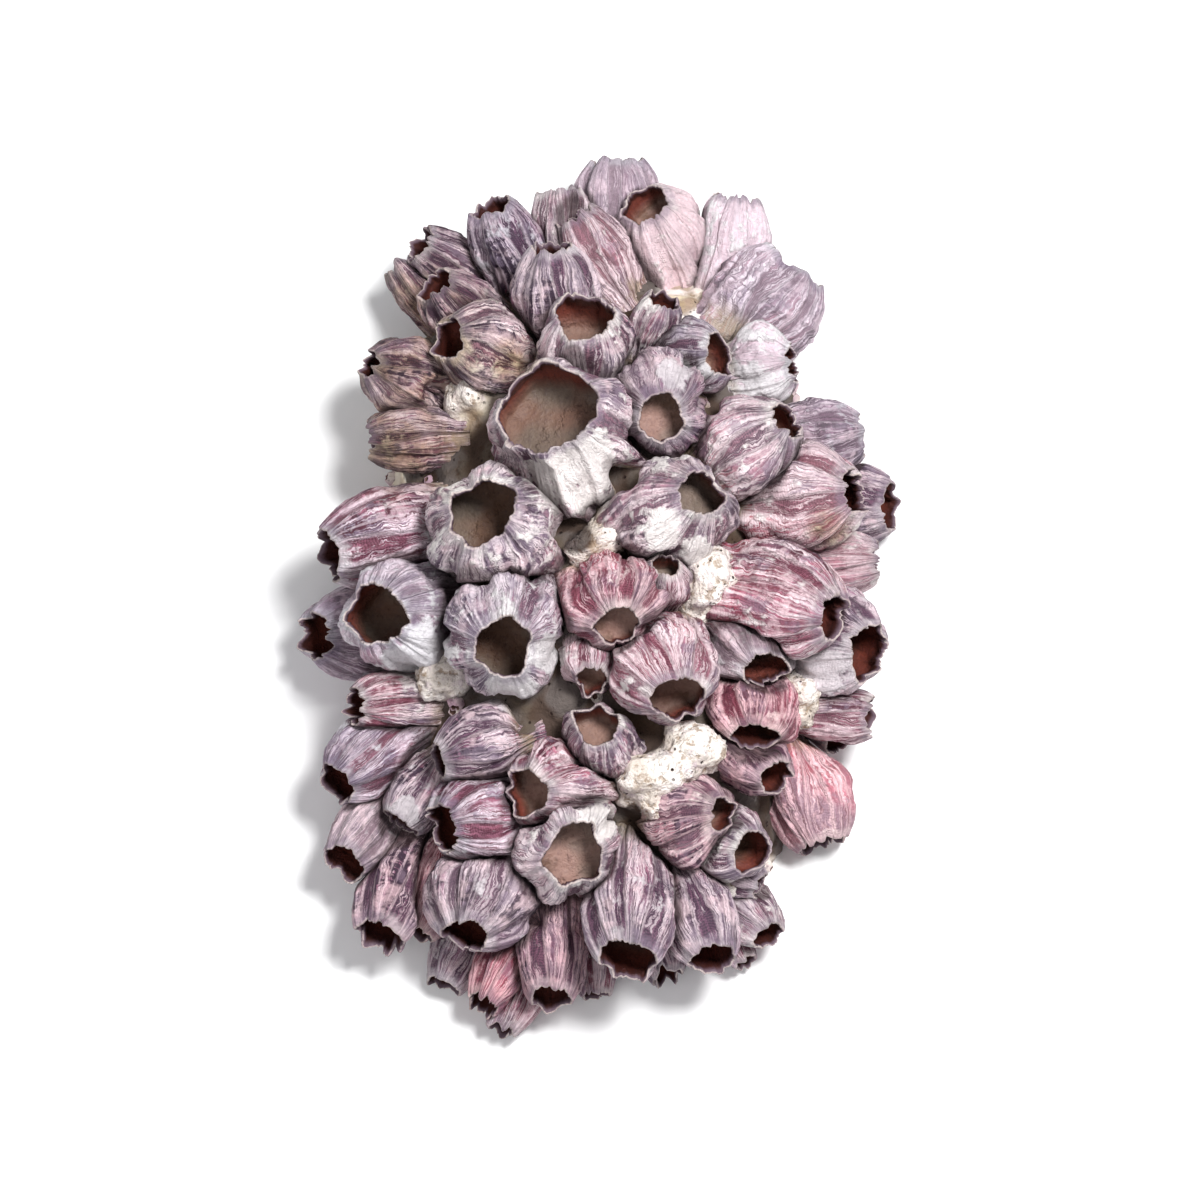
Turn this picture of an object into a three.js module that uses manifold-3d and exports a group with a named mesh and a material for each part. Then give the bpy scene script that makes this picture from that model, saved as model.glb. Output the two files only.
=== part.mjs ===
import * as THREE from "three";
import Module from "manifold-3d";

const wasm = await Module();
wasm.setup();

// A dried cluster of acorn barnacles. Each barnacle is an empty shell: a ring of wall plates with a
// toothed, open mouth. The shells crowd side by side on a dome of old crust, which also carries the
// young barnacles and worn lumps between them. The dome is cut off flat underneath and rests there.

// Driving dimensions, in millimetres and degrees
const FACING_ELEVATION = 70; // the places below are read along a line of sight this far above level
const CRUST = { across: 58, along: 97, height: 52, squareness: 3 };
const CRUST_STEPS = { around: 28, up: 6 };
const CRUST_ROUGHNESS = 1.6; // how far the crust's surface dips
const LOWEST_ROOT = 9; // no shell is rooted lower on the crust than this
const LOWEST_MOUTH = 7; // no mouth's centre is lower than this above the cut
const CLEARANCE = 0.5; // between one shell and the next
const EASE = { step: 0.35, rounds: 12 }; // more clearance, by steps, for shells that still touch
const CRUST_CLEARANCE = 0.7; // between a shell's foot and the crust
const SINK = 4; // how deep young shells and lumps are rooted in the crust
const WALL = 1.1; // a shell's wall at its rim
const LEAST_WALL_SHARE = 0.62; // of the outer radius, kept open where shells squeeze each other
const PLATES = 6;
const YOUNG_PLATES = 4;
const PLATE_RELIEF = 0.05; // ridges stand proud and seams lie sunk by this share of the radius
const TOOTH = 0.9; // height of the rim's teeth above and below the mouth's level
const OVAL = 0.07; // how far a mouth departs from a circle
const SPREAD = 1.2; // how far uncrowded walls swell past the girths below
const FOOT_SHARE = 1.25; // radius at the foot, of the girth
const BELLY = 0.5; // height where the foot's flare ends, of the length
const FLOOR = 0.3; // height of the hollow's floor, of the length
const FOOT_RANGE = [-0.16, 0.4]; // how far a foot follows the crust down and up, of the length
const BLUNTNESS = 0.55; // radius near the top of a worn lump, of its girth
const LARGE_GIRTH = 12; // shells at least this wide get one ring more

// Shells by the side of the cluster that they grow on. Each row holds the mouth's centre, across to
// the right and up the cluster's face, the heading from root to mouth (0 to the right, 90 up), the
// lean away from the line of sight (90 is side-on), the mouth's and the girth's radius, the length
// and the tint.
const SHELLS = {
  top: [
    [-30, 109, 115, 68, 5.5, 8, 26, "slate"],
    [-11, 113, 97, 97, 6, 7.5, 26, "pale"],
    [-7, 106, 123, 86, 5.5, 8, 25, "rose"],
    [-13.5, 97, 95, 75, 5.5, 10, 27, "slate"],
    [-50, 98.5, 147, 70, 5.2, 6.5, 24, "slate"],
    [-45, 87.5, 138, 60, 5.2, 7.5, 20, "slate"],
    [-41.5, 72, 167, 57, 6.5, 10.5, 22, "pale"],
    [-63.5, 65, 158, 67, 4.2, 10, 22, "slate"],
    [-4.5, 77.5, 92, 48, 9, 11.5, 28, "pale"],
    [12.5, 109.5, 115, 45, 6.5, 11, 26, "pale"],
    [5, 122, 92, 95, 6.5, 9.5, 30, "slate"],
    [38, 111.5, 82, 97, 6, 8.5, 28, "pale"],
    [54, 91.5, 52, 95, 9.5, 12, 23, "pale"],
    [53, 65.5, 8, 78, 5, 9.5, 16, "pale"],
    [32.5, 67.5, 15, 52, 5.5, 8.5, 21, "pale"],
    [16.5, 50, 315, 14, 6.8, 13, 26, "slate"],
  ],
  left: [
    [-63, 44, 184, 94, 5, 7.5, 22, "slate"],
    [-32, 24.5, 130, 20, 9, 14.5, 30, "pale"],
    [-74, 13, 196, 75, 8, 11.5, 36, "rose"],
    [-61, -4, 178, 30, 9, 13, 30, "pale"],
    [-78.5, -10, 182, 55, 6.5, 10, 20, "slate"],
    [-26.5, -13, 270, 15, 8.3, 13.5, 28, "pale"],
    [-67, -29.5, 183, 65, 5, 7.5, 22, "rose"],
    [-72, -50, 216, 60, 6.2, 10, 30, "rose"],
    [-44, -44, 195, 75, 5.5, 10, 24, "slate"],
    [-55, -61, 235, 78, 6, 8, 21, "slate"],
    [-70, -72, 229, 50, 6, 8, 22, "slate"],
    [-42.5, -62.5, 190, 60, 7, 12.5, 25, "rose"],
  ],
  great: [[-14.5, 50, 130, 30, 16.3, 17.5, 27, "pale"]],
  middle: [
    [27.5, 28.5, 35, 40, 7.4, 13.5, 28, "pale"],
    [5, -7, 270, 24, 6, 12, 24, "rose"],
    [21, -26.5, 300, 40, 7.5, 12, 28, "rose"],
    [-1, -34.5, 100, 32, 6, 8, 18, "pale"],
    [-19.5, -53, 178, 32, 6.8, 11.5, 24, "rose"],
    [-7, -69, 310, 15, 8.6, 12.5, 28, "pale"],
  ],
  right: [
    [51, 49.5, 38, 66, 6, 13, 24, "pale"],
    [72, 46, 8, 94, 6.5, 10, 23, "slate"],
    [69.5, 29.5, 5, 63, 6, 12.5, 30, "rose"],
    [80, 26, 358, 75, 7.5, 10, 24, "slate"],
    [76, 11, 3, 95, 5.5, 7.5, 25, "rose"],
    [63.5, -4.5, 346, 55, 6.2, 12.5, 36, "rose"],
    [73.5, -14, 347, 50, 8.3, 12, 30, "slate"],
    [45, -19.5, 302, 40, 6.3, 10.5, 21, "slate"],
    [42.5, -38.5, 275, 42, 6.9, 10, 24, "rose"],
    [74, -32, 356, 82, 5.5, 7, 24, "rose"],
    [48, -48.5, 320, 52, 5.3, 8, 20, "slate"],
    [61, -67, 288, 82, 7.5, 10.5, 27, "rose"],
  ],
  front: [
    [33.5, -58.5, 15, 48, 4.8, 10.5, 22, "pale"],
    [41.5, -69, 345, 42, 6.2, 9, 21, "pale"],
    [46, -92, 315, 57, 4.6, 7, 22, "pale"],
    [31, -98, 293, 53, 6.5, 9.5, 34, "slate"],
    [8, -98, 268, 45, 7.8, 10.5, 40, "slate"],
    [-13.5, -109, 272, 60, 6, 8.5, 32, "slate"],
    [-32, -111, 240, 63, 4.4, 7.5, 24, "rose"],
    [-43, -108, 247, 92, 5, 7, 22, "slate"],
    [-36.5, -91.5, 244, 52, 6.3, 12.5, 32, "slate"],
    [-51, -91, 245, 74, 5, 8, 28, "rose"],
    [-60, -92, 250, 52, 6.3, 8.5, 32, "slate"],
  ],
};

// Young barnacles that grow on the crust as one piece with it, in the same columns up to the length
const YOUNG = [
  [-55.5, 93, 130, 98, 4.5, 6, 22],
  [17.5, 82.5, 70, 65, 4.3, 6, 17],
  [18, 10, 75, 42, 4.5, 7.5, 16],
  [-2.3, -22, 268, 35, 4.3, 6.5, 16],
  [64.5, -39.5, 310, 50, 3.8, 6, 17],
  [43.5, -78.5, 335, 80, 3.6, 6, 18],
  [40, -99.5, 300, 75, 3.3, 4.6, 14],
  [18.5, -103, 285, 65, 4, 5.5, 17],
  [-1.5, -109, 275, 80, 3.5, 5, 15],
  [-27, -119, 245, 80, 4.2, 6.5, 18],
];

// Worn lumps of old crust between the shells: across, up, radius and height above the dome
const LUMPS = [
  [12, -49, 8, 16],
  [23, -42, 6.5, 14],
  [27, 3, 8, 16],
  [0, 14, 6, 13],
  [-40, -21, 6, 14],
  [-35, 55, 5, 9],
  [48, -27, 6, 16],
  [28, -74, 5, 14],
];

const TINTS = { slate: "#7d7082", rose: "#b78a96", pale: "#d3c4c6" };
const CRUST_TINT = "#d6ccb4";

const UP = new THREE.Vector3(0, 0, 1);
const CUT_CENTRE = new THREE.Vector3(-11, -23, 0); // where the cut's facets meet
const CLEAR_OF_CRUST = 1 + CRUST_CLEARANCE / CRUST.height;
const radians = THREE.MathUtils.degToRad;

// A repeatable number from 0 to 1 for a seed
function chance(seed) {
  const wave = Math.sin(seed * 12.9898 + 4.1414) * 43758.5453;
  return wave - Math.floor(wave);
}

// A place given across, up and towards the viewer, in the part's own frame
function fromFace(across, up, toward) {
  const e = radians(FACING_ELEVATION);
  const y = up * Math.sin(e) - toward * Math.cos(e);
  const z = up * Math.cos(e) + toward * Math.sin(e);
  return new THREE.Vector3(across, y, z);
}

// 1 on the crust's surface, less inside it and more outside. Below the cut it goes straight down.
function crustShare(p) {
  const { across, along, height, squareness } = CRUST;
  const flat = Math.abs(p.x / across) ** squareness + Math.abs(p.y / along) ** squareness;
  return Math.sqrt(flat ** (2 / squareness) + (Math.max(p.z, 0) / height) ** 2);
}

// The crust's surface on one line of sight, or null where the line passes it by
function crustOnSight(across, up) {
  for (let toward = 120; toward > -120; toward -= 0.25) {
    const p = fromFace(across, up, toward);
    if (p.z < LOWEST_ROOT) return null;
    if (crustShare(p) <= 1) return p;
  }
  return null;
}

// A shell's axis and sizes. A root that would miss the crust is drawn back along the axis to reach it.
function plantShell([across, up, heading, lean, mouth, girth, length, tint], seed, plates, standing) {
  const h = radians(heading);
  const tilt = radians(lean);
  const inFace = [Math.sin(tilt) * Math.cos(h), Math.sin(tilt) * Math.sin(h)];
  const direction = fromFace(inFace[0], inFace[1], Math.cos(tilt));
  let reach = length;
  let root = null;
  while (!root && reach < 4 * length) {
    root = crustOnSight(across - reach * inFace[0], up - reach * inFace[1]);
    if (!root) reach += 0.5;
  }
  const tip = root.clone().addScaledVector(direction, reach);
  tip.z = Math.max(tip.z, LOWEST_MOUTH);
  const make = { tint, plates, standing, shape: shellGeometry };
  return finishAxis({ root, tip, mouth, girth: girth * SPREAD, seed, ...make });
}

// A worn lump stands square to the crust.
function plantLump([across, up, girth, height], seed) {
  const root = crustOnSight(across, up);
  const { across: a, along: b, height: c } = CRUST;
  const normal = new THREE.Vector3(root.x / a ** 2, root.y / b ** 2, root.z / c ** 2).normalize();
  const tip = root.clone().addScaledVector(normal, height);
  const mouth = girth * BLUNTNESS;
  const make = { plates: YOUNG_PLATES, standing: false, shape: lumpGeometry };
  return finishAxis({ root, tip, mouth, girth, seed, ...make });
}

function finishAxis(shell) {
  shell.axis = shell.tip.clone().sub(shell.root);
  shell.length = shell.axis.length();
  shell.axis.normalize();
  shell.turn = new THREE.Quaternion().setFromUnitVectors(UP, shell.axis);
  shell.ease = 0;
  return shell;
}

// Outer radius of an uncrowded shell at a height given as a share of its length
function freeRadius(shell, share) {
  const rim = shell.mouth + WALL;
  if (share < BELLY) return shell.girth * (1 + (FOOT_SHARE - 1) * (1 - share / BELLY) ** 2);
  return rim + (shell.girth - rim) * (1 - ((share - BELLY) / (1 - BELLY)) ** 2.3);
}

// A point's distance from a shell's axis, and the free radius there
function measure(shell, p) {
  const along = THREE.MathUtils.clamp(p.clone().sub(shell.root).dot(shell.axis), 0, shell.length);
  const foot = shell.root.clone().addScaledVector(shell.axis, along);
  return { distance: foot.distanceTo(p), radius: freeRadius(shell, along / shell.length) };
}

// Whether a point is in the room that a crowded shell has to itself
function inOwnRoom(shell, p) {
  if (p.z < 0) return false;
  if (shell.standing && crustShare(p) < CLEAR_OF_CRUST) return false;
  const own = measure(shell, p);
  const share = (own.distance + CLEARANCE + shell.ease) / own.radius;
  return shell.neighbours.every((other) => {
    const there = measure(other, p);
    return share <= there.distance / there.radius;
  });
}

function place(shell, local) {
  return local.clone().applyQuaternion(shell.turn).add(shell.root);
}

// Moves a point of a shell's foot along the axis until it stands just clear of the crust
function standOnCrust(shell, local) {
  const p = local.clone();
  const [lowest, highest] = FOOT_RANGE.map((share) => share * shell.length);
  p.z = lowest;
  while (p.z < highest && crustShare(place(shell, p)) < CLEAR_OF_CRUST) p.z += 0.1;
  return p;
}

// The farthest point of a ring in one direction that keeps to the shell's own room
function settle(shell, angle, wanted, pointAt) {
  let radius = wanted;
  let p = pointAt(radius * Math.cos(angle), radius * Math.sin(angle));
  while (radius > 0.22 * wanted && !inOwnRoom(shell, place(shell, p))) {
    radius -= 0.02 * wanted;
    p = pointAt(radius * Math.cos(angle), radius * Math.sin(angle));
  }
  return p;
}

// One ring of a shell's outer wall, ridge and seam by turns
function outerRing(shell, share) {
  const { plates } = shell;
  const ring = [];
  for (let i = 0; i < 2 * plates; i++) {
    const ridge = i % 2 === 0 ? 1 : -1;
    const angle = (Math.PI * (i + chance(shell.seed))) / plates;
    const oval = 1 + OVAL * Math.cos(2 * angle + shell.seed);
    const wanted = freeRadius(shell, share) * oval * (1 + ridge * PLATE_RELIEF);
    const rim = share === 1 ? ridge * TOOTH * (0.5 + chance(shell.seed + i)) : 0;
    const height = share * shell.length + rim;
    ring.push(
      settle(shell, angle, wanted, (x, y) => {
        const p = new THREE.Vector3(x, y, height);
        return shell.standing && share === 0 ? standOnCrust(shell, p) : p;
      }),
    );
  }
  return ring;
}

// The wall's inner face opposite an outer ring
function innerRing(outer, wall) {
  return outer.map((p) => {
    const radius = Math.hypot(p.x, p.y);
    const share = Math.max(1 - wall / radius, LEAST_WALL_SHARE);
    return new THREE.Vector3(p.x * share, p.y * share, p.z);
  });
}

// Closes a stack of rings, from the first centre to the last, into one surface
function skin(rings, first, last) {
  const sides = rings[0].length;
  const points = [first, ...rings.flat(), last];
  const end = points.length - 1;
  const at = (ring, i) => 1 + ring * sides + (i % sides);
  const faces = [];
  for (let i = 0; i < sides; i++) {
    faces.push(0, at(0, i + 1), at(0, i));
    for (let r = 0; r + 1 < rings.length; r++) {
      faces.push(at(r, i), at(r, i + 1), at(r + 1, i + 1));
      faces.push(at(r, i), at(r + 1, i + 1), at(r + 1, i));
    }
    faces.push(at(rings.length - 1, i), at(rings.length - 1, i + 1), end);
  }
  const geometry = new THREE.BufferGeometry();
  geometry.setAttribute("position", new THREE.Float32BufferAttribute(points.flatMap((p) => p.toArray()), 3));
  geometry.setIndex(faces);
  return geometry;
}

// A hollow shell in its own frame, its root at the origin and its mouth up
function shellGeometry(shell) {
  const levels = shell.girth >= LARGE_GIRTH ? [0.36, 0.72, 1] : [0.55, 1];
  const foot = outerRing(shell, shell.standing ? 0 : -SINK / shell.length);
  const outer = levels.map((share) => outerRing(shell, share));
  const inner = outer.slice(-2).map((ring, i) => innerRing(ring, WALL * (2 - i)));
  const centre = new THREE.Vector3(0, 0, -SINK);
  const first = shell.standing ? standOnCrust(shell, centre) : centre;
  const last = new THREE.Vector3(0, 0, Math.max(FLOOR * shell.length, first.z + 3 * WALL));
  return skin([foot, ...outer, ...inner.reverse()], first, last);
}

// A worn lump: closed, with a blunt top
function lumpGeometry(lump) {
  const rings = [-SINK / lump.length, 0.5, 0.86].map((share) => outerRing(lump, share));
  return skin(rings, new THREE.Vector3(0, 0, -SINK), new THREE.Vector3(0, 0, lump.length));
}

// The crust's dome: rings of dipping surface over a flat cut
function domeGeometry() {
  const rings = [];
  for (let level = 0; level < CRUST_STEPS.up; level++) {
    const rise = (Math.PI / 2) * (level / CRUST_STEPS.up);
    rings.push([]);
    for (let i = 0; i < CRUST_STEPS.around; i++) {
      const turn = (2 * Math.PI * i) / CRUST_STEPS.around;
      const p = new THREE.Vector3(
        Math.cos(turn) * Math.cos(rise) * CRUST.across,
        Math.sin(turn) * Math.cos(rise) * CRUST.along,
        Math.sin(rise) * CRUST.height,
      );
      const dip = (CRUST_ROUGHNESS * chance(level * CRUST_STEPS.around + i)) / CRUST.across;
      p.multiplyScalar((1 - dip) / crustShare(p));
      rings[level].push(p);
    }
  }
  return skin(rings, CUT_CENTRE, new THREE.Vector3(0, 0, CRUST.height));
}

function toSolid(geometry) {
  const vertProperties = new Float32Array(geometry.getAttribute("position").array);
  const triVerts = new Uint32Array(geometry.index.array);
  return new wasm.Manifold(new wasm.Mesh({ numProp: 3, vertProperties, triVerts }));
}

function toGeometry(solid) {
  const made = solid.getMesh();
  const geometry = new THREE.BufferGeometry();
  geometry.setAttribute("position", new THREE.BufferAttribute(made.vertProperties, 3));
  geometry.setIndex(new THREE.BufferAttribute(made.triVerts, 1));
  return geometry;
}

function finish(color) {
  return new THREE.MeshStandardMaterial({ color, roughness: 0.85, metalness: 0 });
}

// A shell or lump as a solid where it stands
function plantedSolid(shell) {
  const geometry = shell.geometry.clone().applyQuaternion(shell.turn);
  return toSolid(geometry.translate(shell.root.x, shell.root.y, shell.root.z));
}

// Shapes every shell and lump, and gives those that still touch a little more room until none do
function growAll(everything) {
  let unsettled = everything;
  for (let round = 0; unsettled.length && round < EASE.rounds; round++) {
    for (const shell of unsettled) {
      shell.geometry = shell.shape(shell);
      shell.solid = plantedSolid(shell);
    }
    const touching = everything.filter((shell) =>
      shell.neighbours.some((other) => shell.solid.intersect(other.solid).volume() > 0),
    );
    for (const shell of touching) shell.ease += EASE.step;
    unsettled = touching;
  }
}

// The dome with its young barnacles and worn lumps, one piece
function crustMesh(grown) {
  const dome = toSolid(domeGeometry());
  const solid = grown.reduce((joined, shell) => joined.add(shell.solid), dome);
  const mesh = new THREE.Mesh(toGeometry(solid), finish(CRUST_TINT));
  mesh.name = "crust";
  return mesh;
}

function shellMesh(shell, name) {
  const mesh = new THREE.Mesh(shell.geometry, finish(TINTS[shell.tint]));
  mesh.name = name;
  mesh.position.copy(shell.root);
  mesh.quaternion.copy(shell.turn);
  return mesh;
}

let seed = 0;
const plant = (rows, planter, ...how) => rows.map((row) => planter(row, ++seed, ...how));
const sides = Object.entries(SHELLS).map(([side, rows]) => {
  return { side, shells: plant(rows, plantShell, PLATES, true) };
});
const grown = [...plant(YOUNG, plantShell, YOUNG_PLATES, false), ...plant(LUMPS, plantLump)];
const everything = [...sides.flatMap((entry) => entry.shells), ...grown];
for (const shell of everything) {
  const reach = (other) => shell.length + other.length + shell.girth + other.girth;
  const near = (other) => other.root.distanceTo(shell.root) < reach(other);
  shell.neighbours = everything.filter((other) => other !== shell && near(other));
}
growAll(everything);

const cluster = new THREE.Group();
cluster.add(crustMesh(grown));
for (const { side, shells } of sides) {
  const group = new THREE.Group();
  const name = (i) => (shells.length > 1 ? `barnacle_${side}_${i + 1}` : `barnacle_${side}`);
  shells.forEach((shell, i) => group.add(shellMesh(shell, name(i))));
  cluster.add(group);
}

export default cluster;
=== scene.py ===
"""Looks of a dried cluster of acorn barnacles: ribbed purple and white shells on a lumpy lime crust."""

import logging
import math
from dataclasses import dataclass, field
from enum import Enum
from typing import Any, Callable, Optional, Union

import bpy
import numpy as np
from bpy.types import Material, Mesh, NodeSocket, NodeTree, Object
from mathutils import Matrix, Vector


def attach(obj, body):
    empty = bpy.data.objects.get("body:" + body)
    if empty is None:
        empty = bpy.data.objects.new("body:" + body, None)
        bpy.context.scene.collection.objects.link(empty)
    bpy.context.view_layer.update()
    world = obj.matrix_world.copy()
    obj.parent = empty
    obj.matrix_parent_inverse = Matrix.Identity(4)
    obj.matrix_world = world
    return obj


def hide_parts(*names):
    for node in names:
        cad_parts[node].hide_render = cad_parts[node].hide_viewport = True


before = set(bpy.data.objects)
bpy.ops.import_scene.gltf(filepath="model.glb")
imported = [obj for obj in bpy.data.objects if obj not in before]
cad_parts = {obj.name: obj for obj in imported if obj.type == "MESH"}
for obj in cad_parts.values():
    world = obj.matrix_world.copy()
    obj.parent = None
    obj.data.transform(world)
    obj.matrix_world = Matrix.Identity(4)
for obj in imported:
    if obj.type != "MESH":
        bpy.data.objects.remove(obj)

LOG = logging.getLogger("barnacle_cluster")
MM = 0.001
FACING_ELEVATION = math.radians(70)  # the places below are read along a line of sight this far above level
LOWEST_ROOT = 9 * MM
LOWEST_MOUTH = 7 * MM
ABOVE_CUT = 0.3 * MM  # shells keep this clear of the plane of the cut
SPREAD = 1.2  # how far uncrowded walls swell past the girths below
MOUTH_SHARE = 0.93  # how far the mouths' inner edge stands inside the radii below
OVAL = 0.07
NARROWING = 2.3  # the power by which walls draw in from belly to rim
PARIES_EDGE = 2 / 3  # where a plate's raised middle ends, from its ridge to its seam
LARGE_GIRTH = 13.5 * MM  # shells above this get more columns

# A shell's room: the least and most share of its free radius that it is pressed to, the steps that find it,
# how softly it is eased, and how far neighbours may reach into each other
TIGHTEST, LOOSEST, HALVINGS, EASE, OVERLAP = 0.18, 1.2, 9, 0.05, 0.012

# Rings of a shell's surface, from the middle of its foot round the rim to the middle of its floor
WALL_FROM, LIP_FROM, THROAT_FROM, BED_FROM, ROWS = 1, 31, 34, 46, 50

# A foot's share of the girth by the shell's lean: wide under upright shells, drawn in under others
FOOT_BY_LEAN = ([35, 65], [1.25, 0.95])

Colour = tuple[float, float, float, float]
Row = tuple[Any, ...]
Patch = tuple[float, float, float]
Look = tuple[float, float, float, float]

# What a shell's mesh keeps for its finish to read, point by point or face by face
MARKS = ["inner", "depth", "plate_tone", "seam_tone", "turns", "crowding"]
MARKS += ["darkness", "rosiness", "chalk", "dirt", "fade", "warmth", "plug"]


def paint(red: int, green: int, blue: int) -> Colour:
    """A colour given in screen values, 0 to 255, as the linear values that shaders take."""

    def linear(value: int) -> float:
        """One channel."""
        share = value / 255
        return share / 12.92 if share <= 0.04045 else ((share + 0.055) / 1.055) ** 2.4

    return linear(red), linear(green), linear(blue), 1.0


def chance(seed: float) -> float:
    """A fixed number between 0 and 1 for each seed."""
    wave = math.sin(seed * 12.9898 + 4.1414) * 43758.5453
    return wave - math.floor(wave)


def from_face(across: float, up: float, toward: float) -> np.ndarray:
    """A place given across, up and towards the viewer, in the part's own frame."""
    sine, cosine = math.sin(FACING_ELEVATION), math.cos(FACING_ELEVATION)
    return np.array([across, up * sine - toward * cosine, up * cosine + toward * sine])


def to_face(points: np.ndarray) -> np.ndarray:
    """Places in the part's own frame, as across, up and towards the viewer."""
    sine, cosine = math.sin(FACING_ELEVATION), math.cos(FACING_ELEVATION)
    up = points[..., 1] * sine + points[..., 2] * cosine
    return np.stack([points[..., 0], up, points[..., 2] * sine - points[..., 1] * cosine], axis=-1)


def near_patches(points: np.ndarray, patches: list[Patch]) -> np.ndarray:
    """How far points lie inside round patches of the cluster's face, 0 outside them and 1 well inside one."""
    face = to_face(points) / MM
    share = np.zeros(len(points))
    for across, up, radius in patches:
        away = np.hypot(face[:, 0] - across, face[:, 1] - up) / radius
        share = np.maximum(share, np.exp(-(away**4)))
    return share


class Tint(Enum):
    """The finishes that shells come in, by their slot in the record."""

    SLATE = "slate_shell"
    ROSE = "rose_shell"
    PALE = "pale_shell"


S, R, P = Tint.SLATE, Tint.ROSE, Tint.PALE

# Mouth across and up, heading, lean, mouth radius, girth radius, length, tint: millimetres and degrees
SIDES: dict[str, list[Row]] = {
    "top": [
        (-30, 109, 115, 68, 5.5, 8, 26, S),
        (-11, 113, 97, 97, 6, 7.5, 26, P),
        (-7, 106, 123, 86, 5.5, 8, 25, R),
        (-13.5, 97, 95, 75, 5.5, 10, 27, S),
        (-50, 98.5, 147, 70, 5.2, 6.5, 24, S),
        (-45, 87.5, 138, 60, 5.2, 7.5, 20, S),
        (-41.5, 72, 167, 57, 6.5, 10.5, 22, P),
        (-63.5, 65, 158, 67, 4.2, 10, 22, S),
        (-4.5, 77.5, 92, 48, 9, 11.5, 28, P),
        (12.5, 109.5, 115, 45, 6.5, 11, 26, P),
        (5, 122, 92, 95, 6.5, 9.5, 30, S),
        (38, 111.5, 82, 97, 6, 8.5, 28, P),
        (54, 91.5, 52, 95, 9.5, 12, 23, P),
        (53, 65.5, 8, 78, 5, 9.5, 16, P),
        (32.5, 67.5, 15, 52, 5.5, 8.5, 21, P),
        (16.5, 50, 315, 14, 6.8, 13, 26, S),
    ],
    "left": [
        (-63, 44, 184, 94, 5, 7.5, 22, S),
        (-32, 24.5, 130, 20, 9, 14.5, 30, P),
        (-74, 13, 196, 75, 8, 11.5, 36, R),
        (-61, -4, 178, 30, 9, 13, 30, P),
        (-78.5, -10, 182, 55, 6.5, 10, 20, S),
        (-26.5, -13, 270, 15, 8.3, 13.5, 28, P),
        (-67, -29.5, 183, 65, 5, 7.5, 22, R),
        (-72, -50, 216, 60, 6.2, 10, 30, R),
        (-44, -44, 195, 75, 5.5, 10, 24, S),
        (-55, -61, 235, 78, 6, 8, 21, S),
        (-70, -72, 229, 50, 6, 8, 22, S),
        (-42.5, -62.5, 190, 60, 7, 12.5, 25, R),
    ],
    "great": [(-14.5, 50, 130, 30, 16.3, 17.5, 27, P)],
    "middle": [
        (27.5, 28.5, 35, 40, 7.4, 13.5, 28, P),
        (5, -7, 270, 24, 6, 12, 24, R),
        (21, -26.5, 300, 40, 7.5, 12, 28, R),
        (-1, -34.5, 100, 32, 6, 8, 18, P),
        (-19.5, -53, 178, 32, 6.8, 11.5, 24, R),
        (-7, -69, 310, 15, 8.6, 12.5, 28, P),
    ],
    "right": [
        (51, 49.5, 38, 66, 6, 13, 24, P),
        (72, 46, 8, 94, 6.5, 10, 23, S),
        (69.5, 29.5, 5, 63, 6, 12.5, 30, R),
        (80, 26, 358, 75, 7.5, 10, 24, S),
        (76, 11, 3, 95, 5.5, 7.5, 25, R),
        (63.5, -4.5, 346, 55, 6.2, 12.5, 36, R),
        (73.5, -14, 347, 50, 8.3, 12, 30, S),
        (45, -19.5, 302, 40, 6.3, 10.5, 21, S),
        (42.5, -38.5, 275, 42, 6.9, 10, 24, R),
        (74, -32, 356, 82, 5.5, 7, 24, R),
        (48, -48.5, 320, 52, 5.3, 8, 20, S),
        (61, -67, 288, 82, 7.5, 10.5, 27, R),
    ],
    "front": [
        (33.5, -58.5, 15, 48, 4.8, 10.5, 22, P),
        (41.5, -69, 345, 42, 6.2, 9, 21, P),
        (46, -92, 315, 57, 4.6, 7, 22, P),
        (31, -98, 293, 53, 6.5, 9.5, 34, S),
        (8, -98, 268, 45, 7.8, 10.5, 40, S),
        (-13.5, -109, 272, 60, 6, 8.5, 32, S),
        (-32, -111, 240, 63, 4.4, 7.5, 24, R),
        (-43, -108, 247, 92, 5, 7, 22, S),
        (-36.5, -91.5, 244, 52, 6.3, 12.5, 32, S),
        (-51, -91, 245, 74, 5, 8, 28, R),
        (-60, -92, 250, 52, 6.3, 8.5, 32, S),
    ],
}

YOUNG: list[Row] = [
    (-55.5, 93, 130, 98, 4.5, 6, 22, S),
    (17.5, 82.5, 70, 65, 4.3, 6, 17, P),
    (18, 10, 75, 42, 4.5, 7.5, 16, R),
    (-2.3, -22, 268, 35, 4.3, 6.5, 16, R),
    (64.5, -39.5, 310, 50, 3.8, 6, 17, R),
    (43.5, -78.5, 335, 80, 3.6, 6, 18, S),
    (40, -99.5, 300, 75, 3.3, 4.6, 14, R),
    (18.5, -103, 285, 65, 4, 5.5, 17, S),
    (-1.5, -109, 275, 80, 3.5, 5, 15, R),
    (-27, -119, 245, 80, 4.2, 6.5, 18, R),
]

# Worn lumps on the crust: across, up, radius, height
LUMPS: list[Row] = [
    (12, -49, 8, 16),
    (23, -42, 6.5, 14),
    (27, 3, 8, 16),
    (0, 14, 6, 13),
    (-40, -21, 6, 14),
    (-35, 55, 5, 9),
    (48, -27, 6, 16),
    (28, -74, 5, 14),
]


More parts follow.
